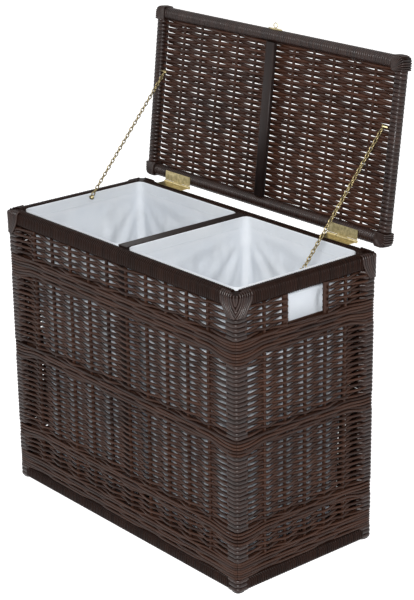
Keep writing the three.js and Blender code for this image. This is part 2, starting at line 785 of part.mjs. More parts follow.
// The three lengths: lid screw to first pivot, to the parted pivot, and on to the rim screw
function chainPieces() {
  const bow = (LINK_WIDE - WIRE) / 2;
  const parted = WIRE * (0.5 + PARTED_SHARE);
  const total = CHAIN_LINE.length();
  return {
    upper: [eye(0), ...chainLength(EYE_WIRE_RADIUS, UPPER_LINKS, 0, [0, bow])],
    middle: chainLength(FIRST_PIVOT, MIDDLE_LINKS, 0, [0, -parted]),
    lower: [...chainLength(SECOND_PIVOT, LOWER_LINKS, 0, [parted, 0]), eye(total)],
  };
}

function chains() {
  const slope = Math.atan2(CHAIN_LINE.y, CHAIN_LINE.x);
  return [["left", -1], ["right", 1]].flatMap(([label, side]) => (
    Object.entries(chainPieces()).map(([part, links]) => {
      const mesh = node(`chain_${label}_${part}`, joinAll(links), "brass");
      mesh.rotation.x = slope - Math.PI / 2;
      mesh.position.set(side * CHAIN_X, LID_END.x, LID_END.y);
      return mesh;
    })
  ));
}

// Lid frame: x across, y from the pin toward the chest's back, z up when the lid is shut
function lidRails() {
  const front = -LID_EDGE_FROM_PIN - LID_DEPTH;
  const long = LID_WIDTH - 2 * (LID_CORNER_INSET + LID_CORNER_LONG + SEAT_GAP);
  const short = LID_DEPTH - 2 * (LID_RAIL_WIDE + SEAT_GAP);
  const middle = (front - LID_EDGE_FROM_PIN) / 2;
  const places = {
    front: { length: long, turn: Math.PI, at: [0, front] },
    back: { length: long, turn: 0, at: [0, -LID_EDGE_FROM_PIN] },
    left: { length: short, turn: Math.PI / 2, at: [-LID_WIDTH / 2, middle] },
    right: { length: short, turn: -Math.PI / 2, at: [LID_WIDTH / 2, middle] },
  };
  return Object.entries(places).map(([side, { length, turn, at }]) => {
    const mesh = node(`lid_rail_${side}`, rail(length, LID_RAIL_WIDE, LID_THICK, LID_RAIL_ROUND, true), "wood");
    mesh.rotation.z = turn;
    mesh.position.set(...at, LID_UNDERSIDE_ABOVE_PIN);
    return mesh;
  });
}

function lidCorners() {
  return corners().map(({ label, sx, sy }) => {
    const outer = LID_WIDTH / 2 - LID_CORNER_INSET;
    const xs = [sx * outer, sx * (outer - LID_CORNER_LONG)].sort((a, b) => a - b);
    const edge = sy > 0 ? -LID_EDGE_FROM_PIN : -LID_EDGE_FROM_PIN - LID_DEPTH + LID_RAIL_WIDE;
    const low = LID_UNDERSIDE_ABOVE_PIN - LID_CORNER_PROUD;
    const geometry = block([xs[0], edge - LID_RAIL_WIDE, low], [xs[1], edge, LID_TOP]);
    return node(`lid_corner_${label}`, geometry, "reed");
  });
}

const LID_PANEL_HALF = LID_WIDTH / 2 - LID_RAIL_WIDE - SEAT_GAP;
const LID_WEAVE = weaveOf(2 * LID_PANEL_HALF, LID_STAKES, LID_STAKE_THICK, LID_REED_THICK);
const PANEL_LONG = LID_DEPTH - 2 * (LID_RAIL_WIDE + SEAT_GAP);

// Panel frame: z runs along the lid from its hinge side, y is up when the lid is shut
function seatOnPanel(mesh) {
  mesh.rotation.x = Math.PI / 2;
  const up = LID_UNDERSIDE_ABOVE_PIN + PANEL_RECESS + LID_WEAVE.reach;
  mesh.position.set(0, -LID_EDGE_FROM_PIN - LID_RAIL_WIDE - SEAT_GAP, up);
  return mesh;
}

function lidPanel() {
  const half = LID_WEAVE.reach;
  const bands = [0, PANEL_LONG - LID_BAND_DEEP].map((low) => (
    block([-LID_PANEL_HALF, -half, low], [LID_PANEL_HALF, half, low + LID_BAND_DEEP])
  ));
  const stakes = LID_WEAVE.places.map((x) => stake(LID_WEAVE, x, 0, PANEL_LONG));
  const low = LID_BAND_DEEP + SEAT_GAP;
  const pitch = (PANEL_LONG - 2 * low + LID_ROW_GAP) / LID_ROWS;
  const rows = [...Array(LID_ROWS).keys()].map((row) => (
    { low: low + row * pitch, high: low + (row + 1) * pitch - LID_ROW_GAP }
  ));
  const woven = plainWeaver(LID_WEAVE, rows, LID_PANEL_HALF, LID_PANEL_HALF - TURN_WIDE);
  return [
    seatOnPanel(node("lid_stakes", joinAll([...bands, ...stakes]), "reed")),
    seatOnPanel(node("lid_weaver", woven, "reed")),
  ];
}

function lidBar() {
  const half = LID_BAR_WIDE / 2;
  const back = -LID_EDGE_FROM_PIN - LID_RAIL_WIDE - SEAT_GAP;
  const low = LID_UNDERSIDE_ABOVE_PIN;
  const high = low + PANEL_RECESS - SEAT_GAP;
  return node("lid_centre_bar", block([-half, back - PANEL_LONG, low], [half, back, high]), "wood");
}

function lidHinges() {
  return [["left", -1], ["right", 1]].map(([label, side]) => {
    const mesh = node(`hinge_leaf_lid_${label}`, hingeLeaf(1, [1]), "brass");
    mesh.position.x = side * HINGE_OFFSET;
    return mesh;
  });
}

function lidScrews() {
  return [["left", -1], ["right", 1]].map(([label, side]) => {
    const mesh = chainScrew(`chain_screw_lid_${label}`, side, LID_WIDTH / 2 - LID_RAIL_WIDE);
    mesh.position.y = -LID_EDGE_FROM_PIN - LID_SCREW_ALONG;
    mesh.position.z = LID_UNDERSIDE_ABOVE_PIN + LID_SCREW_DEEP;
    return mesh;
  });
}

// Boat-shaped plate on the front edge of the lid, and the small ring that stands on it
function pull() {
  const shape = new THREE.Shape();
  shape.moveTo(-PULL_LONG / 2, 0);
  shape.quadraticCurveTo(0, -PULL_TALL, PULL_LONG / 2, 0);
  shape.quadraticCurveTo(0, PULL_TALL, -PULL_LONG / 2, 0);
  const plate = new THREE.ExtrudeGeometry(shape, { depth: PULL_THICK, bevelEnabled: false, curveSegments: 8 });
  plate.rotateX(Math.PI / 2);
  const ring = new THREE.TorusGeometry((RING_WIDE - RING_WIRE) / 2, RING_WIRE / 2, RING_SIDES, RING_STEPS);
  ring.scale(1, RING_TALL / RING_WIDE, 1);
  const front = -LID_EDGE_FROM_PIN - LID_DEPTH - SEAT_GAP;
  const middle = LID_UNDERSIDE_ABOVE_PIN + LID_THICK / 2;
  const meshes = [node("pull_plate", plate, "brass"), node("pull_ring", ring, "brass")];
  meshes[0].position.set(0, front, middle);
  meshes[1].position.set(0, front - PULL_THICK - SEAT_GAP - RING_TALL / 2, middle);
  return meshes;
}

function lid() {
  const group = new THREE.Group();
  group.add(...lidRails(), ...lidCorners(), ...lidPanel(), lidBar());
  group.add(...lidHinges(), ...lidScrews(), ...pull());
  group.position.set(0, PIN_Y, PIN_Z);
  group.rotation.x = -LID_OPEN;
  return group;
}

const hamper = new THREE.Group();
hamper.add(...posts(), ...rails(), ...bindings(), ...walls(), ...centrePosts());
hamper.add(divider(), baseBoard(), ...liners(), ...bodyHinges(), ...rimScrews());
hamper.add(lid(), ...chains());
hamper.position.y = -MIDDLE_Y;

export default hamper;
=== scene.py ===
# %% [markdown]
# # A woven laundry hamper with two bins
# The real hamper is a wooden frame wrapped with flat reed. Round reed is woven over and under upright
# stakes to fill its walls and its lid. Two cotton liners hang inside, and two brass chains hold the lid.
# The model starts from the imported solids, which say where every piece is and what it moves with.

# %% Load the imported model
import json
import math

import bmesh
import bpy
import numpy as np
from mathutils import Matrix, Vector


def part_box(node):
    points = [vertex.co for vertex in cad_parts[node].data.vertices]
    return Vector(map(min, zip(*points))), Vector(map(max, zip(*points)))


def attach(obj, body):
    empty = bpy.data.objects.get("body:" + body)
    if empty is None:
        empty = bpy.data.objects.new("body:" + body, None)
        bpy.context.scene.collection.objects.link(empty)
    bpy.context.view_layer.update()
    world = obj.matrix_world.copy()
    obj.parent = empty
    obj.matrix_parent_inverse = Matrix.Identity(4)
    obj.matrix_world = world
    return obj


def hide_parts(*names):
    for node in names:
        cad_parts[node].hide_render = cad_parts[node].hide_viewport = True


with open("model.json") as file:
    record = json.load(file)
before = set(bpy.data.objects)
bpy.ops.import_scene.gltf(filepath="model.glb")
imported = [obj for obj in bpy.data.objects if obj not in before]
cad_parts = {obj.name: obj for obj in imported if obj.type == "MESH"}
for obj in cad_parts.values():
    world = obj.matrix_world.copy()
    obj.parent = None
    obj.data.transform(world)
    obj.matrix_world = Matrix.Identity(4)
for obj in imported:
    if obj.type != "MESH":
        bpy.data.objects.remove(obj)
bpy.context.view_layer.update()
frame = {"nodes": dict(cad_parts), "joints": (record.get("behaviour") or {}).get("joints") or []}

MM = 0.001
QUARTER = math.pi / 2
X, Y, Z = (1, 0, 0), (0, 1, 0), (0, 0, 1)

# %% [markdown]
# ## Places
# A maker works from the outer faces of the chest, the rim and the hinge pins. They are read from the
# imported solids, so the looks can't drift away from the model.

# %% Read the main places
def pivot(name):
    """The place of a joint."""
    return Vector(next(j for j in frame["joints"] if j["name"] == name)["pos_m"])


(_, FRONT, _), (HALF_WIDTH, _, RIM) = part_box("top_rail_front")
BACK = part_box("top_rail_back")[1][1]
CENTRE_Y = (FRONT + BACK) / 2
HALF_DEPTH = (BACK - FRONT) / 2
PIN = pivot("lid_hinge")
LID_OPEN = math.radians(96.5)
RAIL = 25.4 * MM
RAIL_DEEP = 30 * MM
TOP_RAIL_DEEP = 33 * MM
print("half width", round(HALF_WIDTH, 4), "half depth", round(HALF_DEPTH, 4), "rim", round(RIM, 4))

# %% [markdown]
# ## A small language for node trees
# Nodes are usually joined by hand in the editor. Here a tree is written as a formula instead: a `Field` is
# one socket, and adding or multiplying fields adds Math nodes. The same helper writes both geometry trees
# and materials, which keeps each later cell down to what is particular to its piece.

# %% Write node trees as formulas
class Field:
    """One output socket, which can take part in sums."""

    def __init__(self, graph, socket):
        self.graph = graph
        self.socket = socket

    def __neg__(self):
        return self * -1.0


def math_method(operation, turned=False):
    def method(self, other):
        return self.graph.math(operation, *((other, self) if turned else (self, other)))
    return method


for word, operation in (("add", "ADD"), ("sub", "SUBTRACT"), ("mul", "MULTIPLY"), ("truediv", "DIVIDE"),
                        ("pow", "POWER")):
    setattr(Field, f"__{word}__", math_method(operation))
    setattr(Field, f"__r{word}__", math_method(operation, turned=word in ("sub", "truediv", "pow")))


class Graph:
    """A node tree, with calls that add a node and join its inputs in order."""

    def __init__(self, group):
        self.group = group

    def node(self, kind, *inputs, out=0, **settings):
        made = self.group.nodes.new(kind)
        for key, value in settings.items():
            setattr(made, key, value)
        for socket, value in zip([s for s in made.inputs if s.enabled], inputs):
            self.join(value, socket)
        return Field(self, [s for s in made.outputs if s.enabled][out])

    def join(self, value, socket):
        if isinstance(value, Field):
            self.group.links.new(value.socket, socket)
        elif value is not None:
            socket.default_value = value

    def math(self, operation, *values):
        return self.node("ShaderNodeMath", *values, operation=operation)

    def vector(self, x, y, z):
        return self.node("ShaderNodeCombineXYZ", x, y, z)

    def split(self, vector):
        return [self.node("ShaderNodeSeparateXYZ", vector, out=axis) for axis in range(3)]

    def clamp(self, value, low=0.0, high=1.0):
        return self.node("ShaderNodeClamp", value, low, high)

    def blend(self, start, end, share):
        return start + (end - start) * share

    def ease(self, value):
        share = self.clamp(value)
        return share * share * (3.0 - 2.0 * share)

    def raised(self, value, power):
        """A power of the value's size that keeps its sign."""
        return self.math("SIGN", value) * self.math("ABSOLUTE", value) ** power


print("formulas ready")

# %% [markdown]
# ## Geometry trees
# A Geometry Nodes tree suits whatever repeats by a rule. Its sizes are named inputs, so the maker can
# change a pitch and see every strand move. `grow` sets the inputs by the sockets' identifiers, evaluates
# the tree once, and keeps the result as a plain mesh, because an exported model has no modifiers.

# %% Build and evaluate geometry trees
SOCKETS = {int: "NodeSocketInt", float: "NodeSocketFloat", bpy.types.Material: "NodeSocketMaterial"}


class Tree(Graph):
    """A Geometry Nodes tree with named inputs. `geo` adds a node whose type starts with GeometryNode."""

    def __init__(self, name, takes_mesh=False, **sizes):
        super().__init__(bpy.data.node_groups.new(name, "GeometryNodeTree"))
        self.sizes = {}
        self.inlet = self.group.nodes.new("NodeGroupInput")
        if takes_mesh:
            self.socket("Geometry", "INPUT", "NodeSocketGeometry")
        for word, value in sizes.items():
            socket = self.socket(word.replace("_", " "), "INPUT", SOCKETS[type(value)])
            self.sizes[word] = [socket.identifier, value]
        self.socket("Geometry", "OUTPUT", "NodeSocketGeometry")

    def socket(self, label, way, kind):
        return self.group.interface.new_socket(label, in_out=way, socket_type=kind)

    def __getitem__(self, label):
        return Field(self, self.inlet.outputs[label])

    def geo(self, kind, *inputs, **settings):
        return self.node("GeometryNode" + kind, *inputs, **settings)

    def store(self, geometry, word, value, **settings):
        """Keeps a number on each point under a name, for the material to read."""
        return self.geo("StoreNamedAttribute", geometry, None, word, value, **settings)

    def close(self, geometry):
        whole = self.geo("RealizeInstances", geometry)
        smooth = self.geo("SetShadeSmooth", whole)
        dressed = self.geo("SetMaterial", smooth, None, self["Finish"])
        self.group.links.new(dressed.socket, self.group.nodes.new("NodeGroupOutput").inputs[0])
        return self


def link(name, data):
    """Makes an object for a mesh, lamp or camera."""
    made = bpy.data.objects.new(name, data)
    bpy.context.scene.collection.objects.link(made)
    return made


def baked(piece):
    """The mesh that an object's modifiers give."""
    made = bpy.data.meshes.new_from_object(piece.evaluated_get(bpy.context.evaluated_depsgraph_get()))
    piece.modifiers.clear()
    return made


def grow(tree, name, line=(), **sizes):
    mesh = bpy.data.meshes.new(name + "_tree")
    mesh.from_pydata(line, [(i, (i + 1) % len(line)) for i in range(len(line))], [])
    carrier = link(name + "_tree", mesh)
    modifier = carrier.modifiers.new(tree.group.name, "NODES")
    modifier.node_group = tree.group
    for word, (identifier, value) in tree.sizes.items():
        modifier[identifier] = sizes.get(word, value)
    mesh = baked(carrier)
    mesh.name = name
    bpy.data.objects.remove(carrier)
    return link(name, mesh)


def finish_piece(piece, body, slot, *nodes):
    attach(piece, body)
    if nodes:
        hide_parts(*nodes)
    return piece


def on_chest(piece, slot, *nodes):
    return finish_piece(piece, "body", slot, *nodes)


def join_pieces(name, pieces):
    """Joins meshes into the first one, with each one's faces and attributes kept."""
    with bpy.context.temp_override(active_object=pieces[0], selected_editable_objects=pieces):
        bpy.ops.object.join()
    pieces[0].name = name
    return pieces[0]


print("tree helpers ready")

# %% [markdown]
# ## Skins
# Some pieces are plain meshes: a skin is drawn over a row of rings, each with the same number of points.
# The same few lines make a rod, a torus, a hem and a bag of cloth.

# %% Draw a skin over rings
def skin(name, rings, loop=False, caps=(), material=None, smooth=True):
    """A mesh over rings of points. Caps are numbers of rings that are closed with one face."""
    around = len(rings[0])
    mesh = bpy.data.meshes.new(name)
    last = len(rings) if loop else len(rings) - 1
    faces = [(r * around + i, (r + 1) % len(rings) * around + i,
              (r + 1) % len(rings) * around + (i + 1) % around, r * around + (i + 1) % around)
             for r in range(last) for i in range(around)]
    sides = len(faces)
    for ring in caps:
        cap = range(ring * around, (ring + 1) * around)
        faces.append(tuple(cap if ring == 0 else reversed(cap)))
    mesh.from_pydata([point for ring in rings for point in ring], [], faces)
    if material:
        mesh.materials.append(material)
    mesh.polygons.foreach_set("use_smooth", [smooth] * sides + [False] * len(caps))
    return link(name, mesh)


def outward(piece, merge=0.0):
    """Makes all faces of a closed mesh point outwards, after points that coincide are merged."""
    work = bmesh.new()
    work.from_mesh(piece.data)
    if merge:
        bmesh.ops.remove_doubles(work, verts=work.verts, dist=merge)
    bmesh.ops.recalc_face_normals(work, faces=work.faces)
    work.to_mesh(piece.data)
    work.free()
    return piece


def circle(radius, count):
    """Points of a circle as pairs of numbers."""
    turns = [2 * math.pi * i / count for i in range(count)]
    return [(radius * math.cos(turn), radius * math.sin(turn)) for turn in turns]


print("skins ready")

# %% [markdown]
# ## Reed
# The reed is stained a very dark brown and rubbed to a satin shine. Each strand takes the stain a little
# differently, and fine fibres run along it. The strands carry three attributes: how far along a point is,
# how far round, and a random tone. The fibres are noise stretched along the strand by these attributes.

# %% Make the reed finish
class Finish(Graph):
    """A material's node tree around one Principled shader."""

    def __init__(self, name, **values):
        self.material = bpy.data.materials.new(name)
        self.material.use_nodes = True
        super().__init__(self.material.node_tree)
        self.shader = self.group.nodes["Principled BSDF"]
        for word, value in values.items():
            self.set(word.replace("_", " "), value)

    def set(self, label, value):
        self.join(value, self.shader.inputs[label])

    def attribute(self, name):
        return self.node("ShaderNodeAttribute", attribute_name=name, out=2)

    def place(self):
        return self.node("ShaderNodeTexCoord", out=3)

    def noise(self, vector, scale, detail=2.0, rough=0.5):
        return self.node("ShaderNodeTexNoise", vector, scale, detail, rough)

    def ramp(self, share, *stops):
        """A colour that changes between two stops, each a place and a colour."""
        colour = self.node("ShaderNodeValToRGB", share)
        for element, (place, tint) in zip(colour.socket.node.color_ramp.elements, stops):
            element.position = place
            element.color = (*tint, 1.0)
        return colour

    def bump(self, height, distance, strength):
        made = self.group.nodes.new("ShaderNodeBump")
        for word, value in (("Strength", strength), ("Distance", distance), ("Height", height)):
            self.join(value, made.inputs[word])
        self.set("Normal", Field(self, made.outputs[0]))


def reed_finish(name, dark, warm, shine, gloss):
    reed = Finish(name, Specular_IOR_Level=gloss)
    along, around, tone = (reed.attribute(word) for word in ("along", "around", "tone"))
    fibre = reed.noise(reed.vector(along * 45.0, around * 9.0, tone * 37.0), 1.0, detail=3.0, rough=0.6)
    stain = reed.noise(reed.place(), 9.0)
    share = reed.clamp(fibre * 0.55 + tone * 0.5 + stain * 0.6 - 0.45)
    reed.set("Base Color", reed.ramp(share, (0.0, dark), (1.0, warm)))
    reed.set("Roughness", reed.clamp(fibre * 0.22 + (shine - 0.08)))
    reed.bump(fibre, distance=0.4 * MM, strength=0.55)
    return reed.material


REED = reed_finish("dark_reed", (0.012, 0.0050, 0.0034), (0.058, 0.0235, 0.0130), 0.38, 0.19)
FLAT_REED = reed_finish("flat_reed", (0.0068, 0.0028, 0.0018), (0.020, 0.0078, 0.0047), 0.38, 0.07)
LID_REED = reed_finish("lid_reed", (0.013, 0.0048, 0.0028), (0.070, 0.0262, 0.0135), 0.38, 0.19)
POST_FINISH = reed_finish("post_reed", (0.010, 0.0048, 0.0038), (0.034, 0.0155, 0.0110), 0.30, 0.30)
print("finishes:", *(reed.name for reed in (REED, FLAT_REED, LID_REED, POST_FINISH)))

# %% [markdown]
# ## Woven strands
# A weaver carries each reed over one stake and under the next. All strands of one piece follow one rule, so
# one tree makes them: a straight line is copied once for each strand, every point is moved to where the
# rule says, and a round or flat section is swept along. The rule is a formula of two numbers, how far along
# the strand a point is and which strand it is on. It gives the point's place and the strand's length.

# %% Make a tree of strands
def strand_tree(name, path, material, upright=True, **sizes):
    tree = Tree(name, Strands=1, Points=2, Sides=6, Wide=5.4 * MM, Thick=4.6 * MM, Finish=material, **sizes)
    line = tree.geo("CurvePrimitiveLine", (0, 0, 0), X)
    line = tree.geo("ResampleCurve", line, None, tree["Points"])
    rows = tree.geo("MeshLine", tree["Strands"], (0, 0, 0), Y)
    strands = tree.geo("InstanceOnPoints", rows, None, line)
    strands = tree.geo("RealizeInstances", strands)
    share, strand, _ = tree.split(tree.geo("InputPosition"))
    strand = tree.math("ROUND", strand)
    place, run = path(tree, share, strand)
    tone = tree.node("ShaderNodeTexWhiteNoise", strand, noise_dimensions="1D")
    strands = tree.store(tree.store(strands, "along", share * run), "tone", tone)
    strands = tree.geo("SetPosition", strands, None, place)
    if upright:
        strands = tree.geo("SetCurveNormal", strands, None, mode="Z_UP")
    return sweep(tree, strands)


def sweep(tree, strands):
    """Sweeps an oval section along the strands and closes the tree."""
    section = tree.geo("CurvePrimitiveCircle", tree["Sides"], 0.5)
    section = tree.store(section, "around", tree.geo("SplineParameter"))
    size = tree.vector(tree["Thick"], tree["Wide"], 1.0)
    section = tree.geo("Transform", section, (0, 0, 0), (0, 0, 0), size)
    return tree.close(tree.geo("CurveToMesh", strands, section, True))


def fit(low, high, pitch, spare=0.0):
    """As many strands as go between two places, with their pitch and the place of the first."""
    count = max(1, round((high - low - spare) / pitch))
    step = (high - low) / count
    return {"Strands": count, "Pitch": step, "First": low + step / 2}


print("strand trees ready")

# %% [markdown]
# ## The four woven walls
# On the real hamper the rows lie about 6 mm apart, and neighbouring rows pass a stake on opposite sides.
# Beside a stake the two layers are furthest apart, and there the white liner shows through as bright dashes.
# Between two stakes the rows cross and close up. A cosine wave gives just that. Past the last stake a row
# makes half a wave more on its way to the corner post, and on the far walls it comes to rest there.

# %% Weave the rows of a wall
INSET = 8.5 * MM
ROW = 5.75 * MM
WANDER_WAVE, WANDER_STEP = 19.0, 2.3  # how the rows' slight waves change along a row and from row to row


def over_under(tree, x, strand):
    """Depth of a row at x as a share of the swing: 1 over a stake and -1 under it."""
    last = tree["Last stake"]
    held = tree.clamp(x, -last, last)
    past = tree.clamp((tree.math("ABSOLUTE", x) - last) / (tree["Half span"] - last))
    turns = (held + last) / tree["Stake pitch"] + past ** tree["End power"]
    wave = tree.raised(tree.math("COSINE", turns * math.pi), tree["Steepness"])
    side = 1.0 - 2.0 * tree.math("MODULO", strand, 2.0)
    return wave * (1.0 - past * tree["End calm"]) * side * tree["Parity"]


def wall_row(tree, share, strand):
    x = (share * 2.0 - 1.0) * tree["Half span"]
    out = over_under(tree, x, strand) * tree["Swing"]
    wander = tree.math("SINE", x * WANDER_WAVE + strand * WANDER_STEP) * tree["Wander"]
    z = tree["First"] + strand * tree["Pitch"] + wander
    return tree.vector(x + tree["Middle"], -out, z), tree["Half span"] * 2.0


row_tree = strand_tree(
    "Woven rows", wall_row, REED, Pitch=ROW, First=0.03, Half_span=0.3, Last_stake=0.2, Stake_pitch=0.06,
    Swing=6.1 * MM, End_power=0.4, End_calm=0.0, Steepness=1.6, Wander=0.35 * MM, Parity=1.0, Middle=0.0)
print("row tree inputs:", list(row_tree.sizes))

# %% Put the rows between the bands
BAND_SHARES = [(0, 0.064), (0.146, 0.182), (0.482, 0.527), (0.815, 0.884)]
POINTS_PER_STAKE = 9
WEAVE_TOP = RIM - TOP_RAIL_DEEP
tall = RIM - 2 * RAIL_DEEP
BANDS = [(RAIL_DEEP + low * tall, RAIL_DEEP + high * tall) for low, high in BAND_SHARES]
ZONES = list(zip([high for _, high in BANDS], [low for low, _ in BANDS[1:]] + [WEAVE_TOP]))


def weave(name, zone, half_span, grid, **look):
    """Rows of open weave between two heights. The grid says where the stakes are."""
    points = int(half_span * 2 / grid["Stake_pitch"] * POINTS_PER_STAKE) + 8
    return grow(row_tree, name, Points=points, Half_span=half_span,
                **fit(*zone, ROW, spare=1 * MM), **{**grid, **look})


print("open zones:", [(round(low, 3), round(high, 3)) for low, high in ZONES])

# %% [markdown]
# ## Bands of close weave
# Four bands bind the stakes together. They are twined: each strand passes over two stakes and under one,
# and its neighbours do so one stake later, which gives short slanting strokes and leaves no gaps. A second,
# straight layer lies behind the stakes. At the corners the strokes run on round the post and droop a little.

# %% Twine the bands
BAND_ROW = 4.9 * MM
BACKING_ROW = 4.7 * MM
BACKING_DEPTH = 10.8 * MM
BAND_DROOP = 9 * MM
STROKE = 3.0  # stakes from one stroke to the next in the same row
STROKE_FLAT, STROKE_RISE = 0.15, 0.6  # where a strand leaves a stake and how soon it lies on the next


def band_row(tree, share, strand):
    last, centre = tree["Last stake"], tree["Post centre"]
    straight = tree["Half width"] - centre
    run = straight + tree["Post bend"] * (math.pi / 4)
    s = (share * 2.0 - 1.0) * run
    far = tree.math("ABSOLUTE", s)
    step = (tree.clamp(s, -last, last) + last) / tree["Stake pitch"] - strand
    step = step - STROKE * tree.math("ROUND", step / STROKE)
    swell = tree.clamp((tree.math("ABSOLUTE", step) - STROKE_FLAT) / STROKE_RISE) * 2.0 - 1.0
    side = tree.math("SINE", swell * QUARTER)
    end = tree.ease((far - last) / (tree["Half width"] - RAIL - last))
    out = tree.blend(side * tree["Swing"] + tree["Proud"], tree["Post proud"], end)
    turn = tree.clamp((far - straight) / tree["Post bend"], 0.0, math.pi / 4)
    radius = centre - INSET + out
    x = tree.clamp(s, -straight, straight) + tree.math("SIGN", s) * radius * tree.math("SINE", turn)
    y = centre - INSET - radius * tree.math("COSINE", turn)
    slant = tree.math("SINE", step * (2 * math.pi / STROKE)) * tree["Slant"]
    droop = tree["Droop"] * (1.0 - strand / tree["Strands"])
    z = tree["First"] + strand * tree["Pitch"] + slant * (1.0 - end) - droop * end
    return tree.vector(x, y, z), run * 2.0


band_tree = strand_tree(
    "Twined bands", band_row, REED, Pitch=BAND_ROW, First=0.03, Half_width=0.36, Last_stake=0.2,
    Stake_pitch=0.06, Swing=1.8 * MM, Proud=4.0 * MM, Post_centre=13.7 * MM, Post_bend=14.9 * MM,
    Post_proud=6.7 * MM, Slant=0.5 * MM, Droop=BAND_DROOP)
print("bands:", [(round(low, 3), round(high, 3)) for low, high in BANDS])

# %% Straight strands and stakes
def bar_path(tree, share, strand):
    """Straight strands, spaced along the second direction."""
    along = tree.blend(tree["From"], tree["To"], share)
    across = tree["First"] + strand * tree["Pitch"]
    x = tree.blend(along, across, tree["Upright"])
    z = tree.blend(across, along, tree["Upright"])
    return tree.vector(x, tree["Depth"], z), tree["To"] - tree["From"]


bar_tree = strand_tree("Straight strands", bar_path, REED, upright=False, Pitch=0.1, First=0.0, From=0.0,
                       To=1.0, Upright=0.0, Depth=0.0)
STAKE = {"Upright": 1.0, "Wide": 7.6 * MM, "Thick": 6.4 * MM, "Sides": 8}
TUCK = 2 * MM


def stakes(name, places, low, high):
    pitch = places[1] - places[0] if len(places) > 1 else 0.0
    return grow(bar_tree, name, Strands=len(places), First=places[0], Pitch=pitch, From=low, To=high, **STAKE)


def wall_bands(name, half_width, grid):
    """The bands of a wall and the straight layers behind its stakes."""
    points = int(half_width * 2 / grid["Stake_pitch"] * (POINTS_PER_STAKE - 1)) + 18
    reach = half_width - RAIL - TUCK
    front = [grow(band_tree, f"{name}_band_{i}", Points=points, Wide=5.6 * MM, Half_width=half_width,
                  Droop=BAND_DROOP if i else 0.0, **fit(*band, BAND_ROW), **grid)
             for i, band in enumerate(BANDS)]
    return front + [grow(bar_tree, f"{name}_backing_{i}", From=-reach, To=reach, Depth=BACKING_DEPTH,
                         **fit(*band, BACKING_ROW)) for i, band in enumerate(BANDS)]


print("straight strand tree ready")

# %% [markdown]
# ## Putting a wall together
# A wall is made lying along X with its outer face toward -Y, then turned to its side of the chest. The end
# walls have a handle hole under the top rail: rows stop there at a pair of short stakes on each side.

# %% Fit the rows and the stakes to a handle hole
HOLE_HALF = 46 * MM
HOLE_EDGE = HOLE_HALF + 5 * MM
HOLE_FOOT = BANDS[-1][1]
HOLE_STAKES = (HOLE_HALF + 3.2 * MM, HOLE_HALF + 9.6 * MM)
STAKE_TAIL = 20 * MM


def wall_rows(name, edge, grid, handle, look):
    """The rows of a wall. Beside a handle hole the top zone is woven in two parts."""
    rows = [weave(f"{name}_rows_{i}", zone, edge, grid, **look) for i, zone in enumerate(ZONES[:-1])]
    if not handle:
        return rows + [weave(f"{name}_rows_top", ZONES[-1], edge, grid, **look)]
    middle = (edge + HOLE_EDGE) / 2
    look = {**look, "End_power": 0.8, "Last_stake": abs(grid["Last_stake"] - middle)}
    return rows + [weave(f"{name}_rows_top_{side}", ZONES[-1], (edge - HOLE_EDGE) / 2, grid,
                         Middle=side * middle, **look) for side in (-1, 1)]


def wall_stakes(name, places, handle):
    """The stakes of a wall, which stop under a handle hole. Two more stand on each side of the hole."""
    top = WEAVE_TOP + 1 * MM
    if not handle:
        return [stakes(f"{name}_stakes", places, RAIL_DEEP, top)]
    beside = [side * x for side in (-1, 1) for x in HOLE_STAKES]
    made = [stakes(f"{name}_post", [x], HOLE_FOOT - STAKE_TAIL, top) for x in beside]
    made += [stakes(f"{name}_stakes_low", [x for x in places if abs(x) < HOLE_HALF], RAIL_DEEP, HOLE_FOOT)]
    return made + [stakes(f"{name}_stake", [x], RAIL_DEEP, top) for x in places if abs(x) > HOLE_HALF]


print("handle hole:", round(HOLE_HALF * 2, 3), "m wide")

# %% Make and place the walls
SEEN = {"Wide": 5.6 * MM}
FAR = {"Wide": 6.8 * MM, "Swing": 5.2 * MM, "End_calm": 1.0, "End_power": 1.0}


def make_wall(name, turns, half_width, half_depth, count, look):
    """One wall, turned to its side: 0 front, 1 right, 2 back, 3 left."""
    handle = turns % 2 == 1
    pitch = (half_width - RAIL) * 2 / (count + 1)
    last = pitch * (count - 1) / 2
    grid = {"Last_stake": last, "Stake_pitch": pitch}
    rows = wall_rows(name, half_width - RAIL + TUCK, grid, handle, look)
    comb = wall_stakes(name, [i * pitch - last for i in range(count)], handle)
    comb += wall_bands(name, half_width, grid)
    place = (Matrix.Translation((0, CENTRE_Y, 0)) @ Matrix.Rotation(turns * QUARTER, 4, "Z")
             @ Matrix.Translation((0, INSET - half_depth, 0)))
    for word, pieces, node in (("woven_rows", rows, "weaver"), ("stakes_and_bands", comb, "stakes")):
        piece = join_pieces(f"{name}_{word}", pieces)
        piece.data.transform(place)
        on_chest(piece, "reed", f"{node}_{name}")
        print(piece.name, len(piece.data.polygons), "faces")


make_wall("front", 0, HALF_WIDTH, HALF_DEPTH, 10, {**SEEN, "Parity": 1.0})
make_wall("right", 1, HALF_DEPTH, HALF_WIDTH, 5, {**SEEN, "Parity": -1.0})
make_wall("back", 2, HALF_WIDTH, HALF_DEPTH, 10, {**FAR, "Parity": -1.0})
make_wall("left", 3, HALF_DEPTH, HALF_WIDTH, 5, {**FAR, "Parity": 1.0})

# %% [markdown]
# ## Wrapped rails and posts
# Every rail and post is a plain wooden bar wound closely with flat reed, which hides the joints and gives
# the ribbed look. One turn of reed is a rounded rectangle; the tree copies it along the bar, tilts each
# copy a little by a seeded random number, and sweeps a thin oval along it. A rounded bar fills the inside.

# %% Make the wrapping tree
RAIL_REED = 5.6 * MM
POST_REED = 8.2 * MM
WRAP_THICK = 3.2 * MM
WRAP_OVERLAP = 1.02
CORE_SINK = 0.75
ROUNDING = 6 * MM
ARC_STEPS = 4


